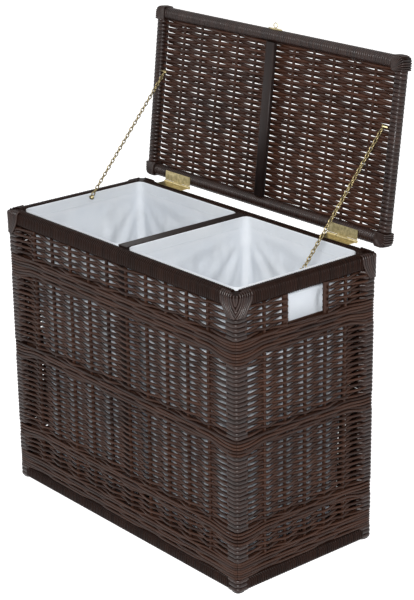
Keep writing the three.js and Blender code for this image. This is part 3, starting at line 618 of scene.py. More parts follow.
def wrap_tree():
    tree = Tree("Reed wrapping", Strands=1, Sides=6, Wide=RAIL_REED, Thick=WRAP_THICK, Finish=FLAT_REED,
                Pitch=RAIL_REED, First=0.0, Bar_width=25 * MM, Bar_depth=25 * MM, Tilt=0.03, Seed=3)
    size = [tree[word] - tree["Thick"] for word in ("Bar width", "Bar depth")]
    turn = tree.geo("CurvePrimitiveQuadrilateral", *size)
    turn = tree.geo("FilletCurve", turn, ROUNDING, True, "Poly", ARC_STEPS)
    start, step = (tree.vector(0.0, 0.0, tree[word]) for word in ("First", "Pitch"))
    line = tree.geo("MeshLine", tree["Strands"], start, step)
    least, most = (tree.vector(way, way, 0.0) for way in (-tree["Tilt"], tree["Tilt"]))
    lean = tree.node("FunctionNodeRandomValue", least, most, None, tree["Seed"], data_type="FLOAT_VECTOR")
    copies = tree.geo("InstanceOnPoints", line, None, turn, None, None, lean)
    tone = tree.node("FunctionNodeRandomValue", 0.0, 1.0, None, tree["Seed"], data_type="FLOAT")
    copies = tree.store(copies, "tone", tone, domain="INSTANCE")
    strands = tree.geo("RealizeInstances", copies)
    strands = tree.store(strands, "along", tree.geo("SplineParameter", out=1))
    return sweep(tree, tree.geo("SetCurveNormal", strands, None, mode="Z_UP"))


wrapping = wrap_tree()
print("wrapping inputs:", list(wrapping.sizes))

# %% Wrap a bar
def core(name, size, radius, span, material=FLAT_REED):
    """A rounded bar along Z, closed at both ends."""
    flat_x, flat_y = (length / 2 - radius for length in size)
    outline = []
    for side_x, side_y, start in ((1, 1, 0), (-1, 1, 90), (-1, -1, 180), (1, -1, 270)):
        turns = [math.radians(start + 90 * step / ARC_STEPS) for step in range(ARC_STEPS + 1)]
        outline += [(side_x * flat_x + radius * math.cos(turn), side_y * flat_y + radius * math.sin(turn))
                    for turn in turns]
    rings = [[(x, y, z) for x, y in outline] for z in reversed(span)]
    return skin(name, rings, caps=(0, 1), material=material)


def wrapped_bar(name, length, size, seed, reed=RAIL_REED, finish=FLAT_REED):
    """A bar along Z from 0 to its length, with reed wound round it."""
    turns = fit(0.0, length, reed)
    wraps = grow(wrapping, name + "_wraps", Wide=turns["Pitch"] * WRAP_OVERLAP, Bar_width=size[0],
                 Bar_depth=size[1], Seed=seed, Finish=finish, **turns)
    under = WRAP_THICK * CORE_SINK
    inside = [side - 2 * under for side in size]
    bar = core(name + "_core", inside, ROUNDING - under / 2, (0.0, length), finish)
    return join_pieces(name, [wraps, bar])


def lay_along(piece, start, direction, across):
    """Lays a bar made along Z from a start point, its width along another direction."""
    z_axis, x_axis = Vector(direction), Vector(across)
    turn = Matrix((x_axis, z_axis.cross(x_axis), z_axis)).transposed().to_4x4()
    piece.data.transform(Matrix.Translation(start) @ turn)
    return piece


print("bar helpers ready")

# %% Wrap the rails of the chest
CORNER = 24 * MM
CHEST_HALF = (HALF_WIDTH, HALF_DEPTH)
SIDES = (("front", False, -1), ("back", False, 1), ("left", True, -1), ("right", True, 1))


def four_rails(name, place, middle, halves, rail, corner, seeds, side_reed=RAIL_REED, finish=FLAT_REED):
    """Rails round a rectangle, between its corner blocks. The front and back ones lie along X."""
    for (word, turned, side), seed in zip(SIDES, seeds):
        half, out = reversed(halves) if turned else halves
        length = 2 * (half - corner)
        reed = side_reed if turned else RAIL_REED
        bar = wrapped_bar(f"wrapped_{name}_{word}", length, rail, seed, reed, finish)
        directions = (Y, X) if turned else (X, Y)
        start = Vector(middle)
        for far, direction in zip((-length / 2, side * (out - rail[0] / 2)), directions):
            start += Vector(direction) * far
        place(lay_along(bar, start, *directions), "wood", f"{name}_{word}")


for name, top, deep in (("top_rail", RIM, TOP_RAIL_DEEP), ("bottom_rail", RAIL_DEEP, RAIL_DEEP)):
    four_rails(name, on_chest, (0, CENTRE_Y, top - deep / 2), CHEST_HALF, (RAIL, deep), CORNER, (5, 6, 9, 10))
print("rails wrapped")

# %% [markdown]
# ## Corner posts
# Flat reed is laid round each corner post, turn above turn, and its ends go in behind the weave on both
# faces. A turn follows a rounded corner: a point is so far round it and so far in from the faces. The post
# at +X, -Y is the pattern, and the other three are made the same way and turned.

# %% Wrap the corner posts
CORNERS = (("front_left", -1, -1, 3), ("front_right", 1, -1, 0), ("back_left", -1, 1, 2),
           ("back_right", 1, 1, 1))


def at_corners(make, name, node, slot, place, middle, halves):
    """Makes a piece for each corner of a rectangle, and turns and moves it there."""
    for word, side_x, side_y, turns in CORNERS:
        piece = make(f"{name}_{word}")
        corner = Vector(middle) + Vector((side_x * halves[0], side_y * halves[1], 0))
        piece.data.transform(Matrix.Translation(corner) @ Matrix.Rotation(turns * QUARTER, 4, "Z"))
        place(piece, slot, f"{node}_{word}")


def round_corner(tree, around, inset, radius):
    """Place on the rounded corner at +X, -Y: a distance round it from its middle, and a depth."""
    turn = tree.clamp(around / radius, -math.pi / 4, math.pi / 4)
    straight = around - turn * radius
    cosine, sine = (tree.math(word, turn - math.pi / 4) for word in ("COSINE", "SINE"))
    reach = radius - inset
    return cosine * reach - sine * straight - radius, sine * reach + cosine * straight + radius


def post_turn(tree, share, strand):
    around = (share * 2.0 - 1.0) * tree["Reach"]
    far = tree.math("ABSOLUTE", around)
    dip = tree.ease((far - tree["Reach"] + tree["Dip length"]) / tree["Dip length"]) * tree["Dip"]
    x, y = round_corner(tree, around, tree["Inset"] + dip, tree["Corner"])
    lean = tree.math("SINE", strand * 5.1) * tree["Lean"]
    z = tree["First"] + strand * tree["Pitch"] + around * lean
    return tree.vector(x, y, z), tree["Reach"] * 2.0


post_turns = strand_tree(
    "Turns round a post", post_turn, POST_FINISH, Pitch=POST_REED, First=0.0, Reach=34 * MM,
    Dip_length=9 * MM, Dip=9 * MM, Inset=2.1 * MM, Corner=10 * MM, Lean=0.035)
POST = 22 * MM
POST_MIDDLE = Vector((-14.4 * MM, 14.4 * MM, 0))


def wrapped_post(name):
    """A corner post with its turns, which leave room for the bands."""
    spans = [(0.1 * RAIL_DEEP, BANDS[0][0]), ZONES[-1]]
    spans += [(low, high - BAND_DROOP) for low, high in ZONES[:-1]]
    turns = [fit(low, high, POST_REED) for low, high in spans]
    pieces = [grow(post_turns, name, Points=26, Wide=rows["Pitch"], Thick=3.6 * MM, **rows) for rows in turns]
    bar = core(name + "_core", (POST, POST), 8 * MM, (0.3 * MM, RIM - RAIL_DEEP))
    bar.data.transform(Matrix.Translation(POST_MIDDLE))
    return join_pieces(name, pieces + [bar])


at_corners(wrapped_post, "wrapped_post", "corner_post", "wood", on_chest, (0, CENTRE_Y, 0), CHEST_HALF)
print("posts wrapped")

# %% [markdown]
# ## Lashed corners
# At each corner of the rim the joint is lashed with reed. The strands come over the top edge, fall side by
# side down both faces and draw together towards the post, where the inner ones cross in a V. One rule
# places all of them: a point is so far round the corner and so far down its face.

# %% Lash the corners of the rim
def lashing_path(tree, share, strand):
    half, edge = tree["Strands"] / 2.0, tree["Edge"]
    side = 1.0 - 2.0 * tree.math("LESS_THAN", strand, half - 0.5)
    order = tree.math("ABSOLUTE", strand - half + 0.5) - 0.5
    start = (order + 0.5) * tree["Spacing"]
    end = tree.math("MAXIMUM", 0.0, order - tree["Crossing"]) * tree["Foot spacing"]
    down = share * (1.0 + tree["Over edge"]) - tree["Over edge"]
    around = tree.blend(start, end, tree.clamp(down) ** tree["Gather"]) * side
    reach = (order + 1.6) * tree["Deep"] * tree["Growth"]
    length = down * tree.math("MINIMUM", tree["Deep"], reach)
    roll = tree.clamp(-length / edge, 0.0, QUARTER)
    past = tree.math("MAXIMUM", 0.0, -length - edge * QUARTER)
    out = edge + tree["Thick"] * 0.35 + order * tree["Lift"]
    inset = edge - out * tree.math("COSINE", roll) + past
    z = out * tree.math("SINE", roll) - edge - tree.math("MAXIMUM", 0.0, length)
    x, y = round_corner(tree, around, inset, tree["Corner"])
    return tree.vector(x, y, z), tree["Deep"] * 1.2


lashing = strand_tree(
    "Corner lashing", lashing_path, POST_FINISH, Spacing=5.6 * MM, Foot_spacing=4.6 * MM, Deep=40 * MM,
    Edge=6 * MM, Corner=12 * MM, Lift=0.05 * MM, Crossing=2.6, Gather=1.7, Growth=0.24, Over_edge=0.25)
LASHING_SINK = 2.6 * MM


def lashed_corner(name):
    """Lashing and a corner block."""
    fan = grow(lashing, name, Strands=14, Points=16, Wide=5.0 * MM, Thick=3.4 * MM)
    block = core(name + "_block", [RAIL - 0.2 * MM] * 2, 10 * MM, (-RAIL_DEEP, -0.8 * MM))
    block.data.transform(Matrix.Translation((-RAIL / 2, RAIL / 2, 0)))
    return join_pieces(name, [fan, block])


at_corners(lashed_corner, "lashed_corner", "corner_binding", "reed", on_chest,
           (0, CENTRE_Y, RIM - LASHING_SINK), CHEST_HALF)
print("corners lashed")

# %% [markdown]
# ## Divider, centre posts and base board
# A bar from front to back makes the two bins. Behind the weave a post stands at the middle of the long
# walls, and a board closes the floor. These are plain stained timber, so a straight grain is enough.

# %% Make the stained timber finish
ALONG_GRAIN, ACROSS_GRAIN = 4.0, 60.0


def timber_finish(name, dark, light, along):
    """Timber whose grain runs along one axis, where the noise is stretched."""
    timber = Finish(name, Specular_IOR_Level=0.2)
    places = zip("XYZ", timber.split(timber.place()))
    stretched = timber.vector(*(place * (ALONG_GRAIN if axis == along else ACROSS_GRAIN)
                                for axis, place in places))
    grain = timber.noise(stretched, 3.0, detail=4.0, rough=0.6)
    timber.set("Base Color", timber.ramp(grain, (0.3, dark), (0.75, light)))
    timber.set("Roughness", timber.clamp(grain * 0.25 + 0.33))
    timber.bump(grain, distance=0.3 * MM, strength=0.4)
    return timber.material


def dress(node, material):
    """Gives a kept solid its finish."""
    piece = frame["nodes"][node]
    piece.data.materials.clear()
    piece.data.materials.append(material)


TIMBER = timber_finish("stained_timber", (0.010, 0.0062, 0.0056), (0.022, 0.0135, 0.0120), "Y")
BOARD = timber_finish("base_board_timber", (0.05, 0.028, 0.018), (0.12, 0.072, 0.045), "X")
for node in ("divider_bar", "centre_post_front", "centre_post_back"):
    dress(node, TIMBER)
dress("base_board", BOARD)
print("timber dressed")

# %% [markdown]
# ## The lid
# The lid is a frame of four wrapped rails with a woven panel set back from its underside. It is made lying
# shut, measured from the hinge pin, and then swung open about the pin, as the photograph shows it.

# %% Wrap the rails of the lid
LID_DEEP = 367 * MM
LID_BACK = -3.5 * MM
LID_FRONT = LID_BACK - LID_DEEP
LID_HALF = 366 * MM
LID_RAIL = 25 * MM
LID_CORNER = 27 * MM
LID_LOW = 1.5 * MM
LID_MIDDLE = (0, LID_BACK - LID_DEEP / 2, LID_LOW + LID_RAIL / 2)
swing_open = Matrix.Translation(PIN) @ Matrix.Rotation(-LID_OPEN, 4, "X")


def on_lid(piece, slot, *nodes):
    piece.data.transform(swing_open)
    return finish_piece(piece, "lid", slot, *nodes)


four_rails("lid_rail", on_lid, LID_MIDDLE, (LID_HALF, LID_DEEP / 2), (LID_RAIL, LID_RAIL), LID_CORNER,
           (31, 32, 37, 38), side_reed=POST_REED, finish=POST_FINISH)
print("lid rails wrapped")

# %% Lash the corners of the lid
def lid_lashing_path(tree, share, strand):
    """Turns round the corner block, fanned about the inner corner of the frame."""
    angle = (strand + 0.5) / tree["Strands"] * QUARTER
    cosine, sine = (tree.math(word, angle) for word in ("COSINE", "SINE"))
    along, up = (tree.raised(tree.math(word, share * (2 * math.pi)), tree["Squareness"])
                 for word in ("COSINE", "SINE"))
    corner = tree.math("MINIMUM", tree["Block"] / tree.math("MAXIMUM", cosine, sine), tree["Block"] * 1.2)
    length = (along * 0.5 + 0.5) * corner
    return tree.vector(cosine * length, -sine * length, up * tree["Half thick"]), 0.1


lid_lashing = strand_tree("Lid corner lashing", lid_lashing_path, POST_FINISH, upright=False,
                          Half_thick=13.1 * MM, Block=27.6 * MM, Squareness=0.28)
LID_BLOCK = 11.6 * MM


def lid_corner(name):
    """Lashing round a block whose inner corner is the origin."""
    fan = grow(lid_lashing, name, Strands=11, Points=30, Wide=3.4 * MM, Thick=3.4 * MM)
    block = core(name + "_block", (LID_RAIL, LID_RAIL), 3 * MM, (-LID_BLOCK, LID_BLOCK))
    block.data.transform(Matrix.Translation((13.0 * MM, -13.0 * MM, 0)))
    return join_pieces(name, [fan, block])


at_corners(lid_corner, "lashed_lid_corner", "lid_corner", "reed", on_lid, LID_MIDDLE,
           (LID_HALF - LID_CORNER, LID_DEEP / 2 - LID_CORNER))
print("lid corners lashed")

# %% [markdown]
# ## The lid's panel
# The panel is the same plain weave on thinner stakes. Nothing lies behind it, so daylight comes through
# beside every stake. The same row tree makes it, laid flat.

# %% Weave the panel
PANEL_HALF = LID_HALF - LID_RAIL
PANEL_LONG = LID_DEEP - 2 * LID_RAIL
PANEL_STAKES = 11
PANEL_Z = 18.2 * MM
panel_pitch = 2 * PANEL_HALF / (PANEL_STAKES + 1)
panel_last = panel_pitch * (PANEL_STAKES - 1) / 2


def lay_flat(piece):
    """Lays a wall down: its rows run along X and follow each other from the back to the front."""
    turn = Matrix.Rotation(QUARTER, 4, "X")
    piece.data.transform(Matrix.Translation((0, LID_BACK - LID_RAIL, PANEL_Z)) @ turn)
    return piece


panel_rows = fit(0.0, PANEL_LONG, ROW, spare=1 * MM)
panel = grow(row_tree, "lid_woven_rows", Points=130, Wide=6.8 * MM, Thick=4.2 * MM, Finish=LID_REED,
             Half_span=PANEL_HALF + 1 * MM, Last_stake=panel_last, Stake_pitch=panel_pitch,
             Swing=4.9 * MM, End_power=0.8, **panel_rows)
on_lid(lay_flat(panel), "reed", "lid_weaver")
places = [i * panel_pitch - panel_last for i in range(PANEL_STAKES)]
panel_stakes = stakes("lid_panel_stakes", places, -1 * MM, PANEL_LONG + 1 * MM)
panel_stakes.data.transform(Matrix.Diagonal((1.0, 0.75, 1.0, 1.0)))
on_lid(lay_flat(panel_stakes), "reed", "lid_stakes")
print("panel rows:", panel_rows["Strands"], "pitch", round(panel_rows["Pitch"] / MM, 2), "mm")

# %% Fit the bar under the lid
LID_TIMBER = timber_finish("lid_timber", (0.008, 0.0048, 0.0042), (0.020, 0.0122, 0.0108), "Z")
centre_bar = core("lid_bar", (LID_RAIL, 10.5 * MM), 3.5 * MM, (0.0, PANEL_LONG), LID_TIMBER)
lay_along(centre_bar, (0, LID_FRONT + LID_RAIL, LID_LOW + 5.4 * MM), Y, X)
on_lid(centre_bar, "wood", "lid_centre_bar")
print("lid bar placed")

# %% [markdown]
# ## Brass
# The hinges, chains, screws and the pull are aged yellow brass: it has gone a little olive and dull, with
# brighter rubbed places. Metal gets its look from what it reflects, so only the tint and the roughness vary.

# %% Make the aged brass
def brass_finish(name, dull, bright):
    brass = Finish(name, Metallic=1.0)
    cloud = brass.noise(brass.place(), 160.0, detail=3.0, rough=0.6)
    fine = brass.noise(brass.place(), 900.0)
    brass.set("Base Color", brass.ramp(cloud, (0.32, dull), (0.7, bright)))
    brass.set("Roughness", brass.clamp(cloud * -0.2 + 0.46))
    brass.bump(fine, distance=0.15 * MM, strength=0.25)
    return brass.material


BRASS = brass_finish("aged_brass", (0.34, 0.28, 0.14), (0.66, 0.56, 0.31))
CHAIN_BRASS = brass_finish("dull_brass", (0.13, 0.105, 0.055), (0.34, 0.275, 0.14))
for node in frame["nodes"]:
    if node.startswith(("hinge", "pull")):
        dress(node, BRASS)
print("brass ready")

# %% [markdown]
# ## Chains
# Each chain is made of separate oval links, every second one turned a quarter, as a bought chain is. The
# tree copies one link along the chain's line. The solid model bends each chain at two places, so the links
# come in three lengths, one for each body. The first and the last end in an eye round a screw.

# %% Make the chain tree
LINK_WIRE = 2.5 * MM
LINK_WIDE = 8.6 * MM
LINK_TWIST = 0.22


def chain_tree():
    tree = Tree("Chain of links", Links=4, Sides=6, Wire=LINK_WIRE, Finish=CHAIN_BRASS, Link_width=LINK_WIDE,
                Pitch=8.4 * MM, First_turned=0.0)
    inner = tree["Link width"] - tree["Wire"]
    oval = tree.geo("CurvePrimitiveQuadrilateral", inner, tree["Pitch"] + tree["Wire"])
    oval = tree.geo("FilletCurve", oval, inner * 0.499, True, "Poly", ARC_STEPS)
    stand = tree.geo("Transform", oval, (0, 0, 0), (QUARTER, 0, 0), (1, 1, 1))
    start, step = (tree.vector(0.0, 0.0, tree["Pitch"] * share) for share in (0.5, 1.0))
    line = tree.geo("MeshLine", tree["Links"], start, step)
    order = tree.geo("InputIndex") + tree["First turned"]
    turn = tree.vector(0.0, 0.0, tree.math("MODULO", order, 2.0) * QUARTER + LINK_TWIST)
    links = tree.geo("InstanceOnPoints", line, None, stand, None, None, turn)
    links = tree.geo("RealizeInstances", links)
    section = tree.geo("CurvePrimitiveCircle", tree["Sides"], tree["Wire"] / 2.0)
    return tree.close(tree.geo("CurveToMesh", links, section, True))


chain_links = chain_tree()
print("chain inputs:", list(chain_links.sizes))

# %% Hang the chains
CHAIN_PARTS = (("upper", 159.539 * MM, 19), ("middle", 39.01 * MM, 5), ("lower", 120.53 * MM, 14))
EYE_RADIUS = 3.4 * MM
EYE_OUT = EYE_RADIUS + LINK_WIRE / 2


def eye_ring(centre):
    """A ring round the screw's shank, its hole along X."""
    wire = [(EYE_RADIUS + out, up) for out, up in circle(LINK_WIRE / 2, 8)]
    rings = [[centre + Vector((up, reach * y, reach * z)) for reach, up in wire] for y, z in circle(1.0, 20)]
    return skin("eye", rings, loop=True, material=CHAIN_BRASS)


for side in ("left", "right"):
    top, foot = pivot(f"chain_{side}_lid_end"), pivot(f"chain_{side}_rim_end")
    line = (foot - top).normalized()
    start, order = 0.0, 0
    for part, length, count in CHAIN_PARTS:
        begin = start + (EYE_OUT if part == "upper" else 0.0)
        end = start + length - (EYE_OUT if part == "lower" else 0.0)
        links = grow(chain_links, f"chain_{side}_{part}_links", Links=count, Pitch=(end - begin) / count,
                     First_turned=float(order % 2))
        lay_along(links, top + line * begin, line, X)
        if part != "middle":
            links = join_pieces(links.name, [links, eye_ring(top if part == "upper" else foot)])
        finish_piece(outward(links), f"chain_{side}_{part}", "brass", f"chain_{side}_{part}")
        start += length
        order += count
print("chains hung")

# %% [markdown]
# ## Screws
# The chains hang on round-head screws and the hinge leaves are held by small countersunk ones. A screw is a
# profile turned about its axis, with a straight slot cut into its head by a Boolean modifier.

# %% Turn the screws
def turned_screw(name, profile, sides, slot):
    """Turns a profile of (radius, height) about Z. The slot is its width, length and depth."""
    rings = [[(x, y, height) for x, y in circle(radius, sides)] for radius, height in profile]
    screw = outward(skin(name, rings, material=BRASS), merge=1e-7)
    wide, long, deep = slot
    top = profile[-1][1]
    cutter = core("slot_cutter", (long, wide), wide * 0.2, (top - deep, top + 1 * MM), BRASS)
    cut = screw.modifiers.new("slot", "BOOLEAN")
    cut.operation, cut.solver, cut.object = "DIFFERENCE", "EXACT", cutter
    screw.data = baked(screw)
    bpy.data.objects.remove(cutter)
    return screw


def flush_screw(name):
    """The head of a countersunk screw, its face at 0.1 mm."""
    profile = [(0, -0.6), (1.8, -0.6), (2.7, 0.0), (2.5, 0.08), (1.2, 0.1), (0, 0.1)]
    return turned_screw(name, [(r * MM, z * MM) for r, z in profile], 20, (0.7 * MM, 4 * MM, 0.4 * MM))


def chain_screw(name):
    """A round-head screw that starts at 0. All four are as long as the solid ones of the rim."""
    low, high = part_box("chain_screw_rim_right")
    long = high[0] - low[0]
    shank = long - 2.2 * MM
    profile = [(0, 0), (1.9 * MM, 0), (1.9 * MM, shank), (4 * MM, shank), (4 * MM, shank + 0.9 * MM),
               (3.2 * MM, shank + 1.7 * MM), (1.8 * MM, long - 0.1 * MM), (0, long)]
    return turned_screw(name, profile, 24, (1.0 * MM, 10 * MM, 1.0 * MM))


for body, where, across in (("body", "rim", Z), ("lid", "lid", (0, 0.6, 0.8))):
    for side, sign in (("left", -1), ("right", 1)):
        low, high = (Vector(corner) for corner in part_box(f"chain_screw_{where}_{side}"))
        root = (low + high) / 2
        root.x = high.x if sign > 0 else low.x
        screw = lay_along(chain_screw(f"round_head_{where}_{side}"), root, (-sign, 0, 0), across)
        finish_piece(screw, body, "brass", f"chain_screw_{where}_{side}")
print("chain screws placed")

# %% Put three screws in each hinge leaf
LEAF_SCREW = 14 * MM
LEAF_SEAT = 0.2 * MM
LEAF_STEPS = (-28 * MM, 0.0, 28 * MM)


def leaf_screws(name, middle, up):
    """The screws of one leaf, measured from the hinge pin: up is 1 on the lid and -1 on the rail."""
    places = [(middle + step, -LEAF_SCREW, up * LEAF_SEAT) for step in LEAF_STEPS]
    return join_pieces(name, [lay_along(flush_screw(name), place, (0, 0, -up), X) for place in places])


for side in ("left", "right"):
    middle = sum(corner[0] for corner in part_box(f"hinge_leaf_body_{side}")) / 2
    rail_screws = leaf_screws(f"hinge_screws_body_{side}", middle, -1)
    rail_screws.data.transform(Matrix.Translation((0, PIN.y, PIN.z)))
    on_chest(rail_screws, "brass")
    on_lid(leaf_screws(f"hinge_screws_lid_{side}", middle, 1), "brass")
print("hinge screws placed")

# %% [markdown]
# ## Cotton liners
# Each bin holds a sewn bag of thin white cotton: four walls, a bottom, a folded hem and a doubled seam down
# each corner. Thin cloth lets light through, so the material mixes a matt surface with a translucent one.
# That is why the liner glows through the gaps of the weave. Doubled cloth is whiter and lets less through.

# %% Make the cotton finish
THREADS = 5200.0
GLOW, DOUBLED_GLOW = 0.28, 0.24


def cotton_finish():
    cotton = Finish("white_cotton", Roughness=0.85, Specular_IOR_Level=0.12, Sheen_Weight=0.15)
    doubled = cotton.attribute("doubled")
    x, y, z = cotton.split(cotton.place())
    threads = cotton.math("SINE", z * THREADS) * cotton.math("SINE", (x + y) * THREADS)
    cloud = cotton.noise(cotton.place(), 14.0, detail=3.0, rough=0.55)
    colour = cotton.ramp(cloud + doubled * 0.15, (0.25, (0.73, 0.77, 0.82)), (0.95, (0.84, 0.865, 0.89)))
    cotton.set("Base Color", colour)
    crumple = cotton.noise(cotton.place(), 34.0, detail=3.0, rough=0.6)
    cotton.bump(threads * 0.04 + cloud + crumple * 0.5, distance=2.2 * MM, strength=0.5)
    glow = cotton.node("ShaderNodeBsdfTranslucent", colour)
    surface = Field(cotton, cotton.shader.outputs[0])
    share = cotton.clamp(GLOW - doubled * (GLOW - DOUBLED_GLOW))
    mixed = cotton.node("ShaderNodeMixShader", share, surface, glow)
    cotton.join(mixed, cotton.group.nodes["Material Output"].inputs["Surface"])
    return cotton.material


COTTON = cotton_finish()
print("cotton ready")

# %% [markdown]
# ## The cut of a bag
# The bag starts as rings of points, from the hem down the walls and in across the bottom. Near the hem a
# ring fits the corners of the frame; further down its corners round off, as slack cloth does. Shallow
# creases fan out from the top of each corner, where the hem holds the cloth.

# %% Lay out the bag
HEM = 25 * MM
HEM_RINGS = 5
LINER_TOP = RIM - 0.8 * MM
LINER_FOOT = 34 * MM
FOOT_ROUND = 55 * MM
BAG_LIMITS = {"left": (-0.3360, -0.0132), "right": (0.0132, 0.3360)}
BAG_HALF_Y = 155.4 * MM
SIDE_POINTS = (37, 35, 37, 35)
AROUND = sum(SIDE_POINTS)
CREASE_DEEP = 11 * MM
CREASE_LONG = 0.26
CREASE_ROUND, CREASE_START = 30 * MM, 4 * MM
BROAD_FOLDS, FINE_FOLDS, FINE_SHARE = 7, 12, 0.6
CHAIN_SPAN = (-105 * MM, 15 * MM)
CHAIN_DEPTH = LINER_TOP - 0.43
SLACK_AT_CHAIN = 0.04
LEAN, LEAN_DEPTH = 0.005, 0.3
TOP_ROUND, LOW_ROUND, TIGHT_ROUND = 12 * MM, 52 * MM, 18 * MM
ROUND_DEPTH, LOOSE_DEPTH = 110 * MM, 60 * MM


def side_points(half, out, first, second, count):
    """Points along one side of a rounded rectangle, from the middle of one corner to the next."""
    straight = 2 * half - first - second
    s = np.arange(count) / count * ((first + second) * math.pi / 4 + straight) - first * math.pi / 4
    radius = np.where(s < 0, first, second)
    angle = np.where(s < 0, s / first, np.maximum(0.0, (s - straight) / second))
    middle = np.clip(s, 0.0, straight) - half + first
    return middle + radius * np.sin(angle), out - radius + radius * np.cos(angle)


def creases(along, half, depth, seed):
    """Inward depth of the creases that fan out from the two upper corners of a wall."""
    total = np.zeros_like(along)
    fall = max(depth - HEM, 0.0)
    for corner, phase in ((-1, seed), (1, seed + 2.1)):
        across = half - corner * along
        far = np.hypot(across, fall)
        angle = np.arctan2(fall, across + CREASE_START)
        broad, fine = ((1 - np.abs(np.sin(folds * angle + turn))) ** 2
                       for folds, turn in ((BROAD_FOLDS, phase), (FINE_FOLDS, 2 * phase)))
        folded = (broad + FINE_SHARE * fine) * far / (far + CREASE_ROUND)
        total += folded * np.exp(-(far / CREASE_LONG) ** 2)
    return total


def share_of(depth, span):
    """How much of a span a depth under the hem has passed, from 0 to 1."""
    return min(1.0, max(0.0, (depth - HEM) / span))


def bag_ring(side, depth, foot_share=1.0):
    """One ring of the bag: its points, and how much of its fall each point may take."""
    low, high = BAG_LIMITS[side]
    turn = max(0.0, LINER_FOOT + FOOT_ROUND - (LINER_TOP - depth))
    sag = math.asin(min(1.0, turn / FOOT_ROUND))
    inset = min(depth, LEAN_DEPTH) * LEAN + FOOT_ROUND * (1 - math.cos(sag))
    height = max(LINER_TOP - depth, LINER_FOOT + FOOT_ROUND * (1 - math.sin(sag)))
    share = share_of(depth, ROUND_DEPTH)
    loose_round = TOP_ROUND + (LOW_ROUND - TOP_ROUND) * share * share * (3 - 2 * share)
    radii = [loose_round] * 3 + [min(loose_round, TIGHT_ROUND)] + [loose_round]
    halves = [(half - inset) * foot_share for half in ((high - low) / 2, BAG_HALF_Y)]
    middle = Vector(((low + high) / 2, CENTRE_Y, height))
    ring, slack = [], []
    for turns, count in enumerate(SIDE_POINTS):
        half, out = halves if turns % 2 == 0 else reversed(halves)
        along, reach = side_points(half, out, *(r * foot_share for r in radii[turns:turns + 2]), count)
        tangent = Vector((math.cos(turns * QUARTER), math.sin(turns * QUARTER), 0))
        normal = Vector((tangent.y, -tangent.x, 0))
        y = middle.y + along * tangent.y + reach * normal.y
        outer = turns == {"left": 3, "right": 1}[side] and depth < CHAIN_DEPTH
        near_chain = outer * (y > CHAIN_SPAN[0]) * (y < CHAIN_SPAN[1])
        loose = np.where(near_chain, SLACK_AT_CHAIN, 1.0) * share_of(depth, LOOSE_DEPTH)
        folds = creases(along, half, depth, turns * 1.7 + (3.0 if side == "left" else 0.0))
        reach = reach - folds * loose * CREASE_DEEP * foot_share
        ring += [middle + tangent * u + normal * w for u, w in zip(along, reach)]
        slack += list(loose)
    return ring, slack


def lay_out(side, name):
    """The bag as a mesh before it falls, and how much of its fall each point may take."""
    wall = LINER_TOP - LINER_FOOT - FOOT_ROUND
    depths = list(np.linspace(0.0, HEM, HEM_RINGS)) + list(np.linspace(HEM, wall, 48))[1:]
    depths += [wall + FOOT_ROUND * math.sin(math.radians(angle)) for angle in (11, 22, 33, 45, 57, 70, 84)]
    rows = [bag_ring(side, depth) for depth in depths]
    rows += [bag_ring(side, LINER_TOP - LINER_FOOT, share) for share in np.linspace(1.0, 0.06, 11)]
    rings, slack = zip(*rows)
    return skin(name, rings, caps=(len(rings) - 1,)), np.concatenate(slack)


print("bag layout ready,", AROUND, "points round")

# %% [markdown]
# ## The fall of the cloth
# The hem is held and the rest of the cloth falls. The cloth is cut about three per cent larger than its
# start, so it has to crumple. Four tenths of the fall is taken, so that the creases stay. No point may
# move further than a cap, and none may leave the bin or come into the way of the chain.

# %% Let the cloth fall
CLOTH = {"quality": 5, "mass": 0.12, "tension_stiffness": 14, "compression_stiffness": 10,
         "shear_stiffness": 4, "bending_stiffness": 0.35, "shrink_min": -0.03, "vertex_group_mass": "held"}
FALL_FRAMES = 16
FALL_SHARE = 0.4
FALL_CAP = 13 * MM
LOWEST = 22.5 * MM


def places_of(mesh):
    places = np.zeros(len(mesh.vertices) * 3)
    mesh.vertices.foreach_get("co", places)
    return places.reshape(-1, 3)


def fallen(piece):
    """Runs the cloth simulation and gives the points' places after it."""
    piece.vertex_groups.new(name="held").add(list(range(HEM_RINGS * AROUND)), 1.0, "REPLACE")
    cloth = piece.modifiers.new("cloth", "CLOTH")
    for word, value in CLOTH.items():
        setattr(cloth.settings, word, value)
    cloth.collision_settings.use_collision = False
    for step in range(1, FALL_FRAMES + 1):
        bpy.context.scene.frame_set(step)
    places = places_of(piece.evaluated_get(bpy.context.evaluated_depsgraph_get()).data)
    piece.modifiers.clear()
    piece.vertex_groups.clear()
    bpy.context.scene.frame_set(1)
    return places


def drape(piece, side, slack):
    start = places_of(piece.data)
    places = fallen(piece)
    move = (places - start) * slack[:, None] * FALL_SHARE
    far = np.linalg.norm(move, axis=1, keepdims=True)
    move *= np.minimum(1.0, FALL_CAP / np.maximum(far, 1e-9))
    low, high = BAG_LIMITS[side]
    limits = ((low, high), (CENTRE_Y - BAG_HALF_Y, CENTRE_Y + BAG_HALF_Y), (LOWEST, RIM))
    places = np.clip(start + move, *zip(*limits))
    piece.data.vertices.foreach_set("co", places.ravel())
    print(piece.name, "moved up to", round(float(np.linalg.norm(move, axis=1).max()) / MM, 1), "mm")


print("cloth ready")

# %% [markdown]
# ## Sewing
# A finished bag gets its second face, so that it is a closed thin sheet. The folded hem is a thicker strip
# round its top with a rolled upper edge. A tree lays a stitch every few millimetres along the hem.

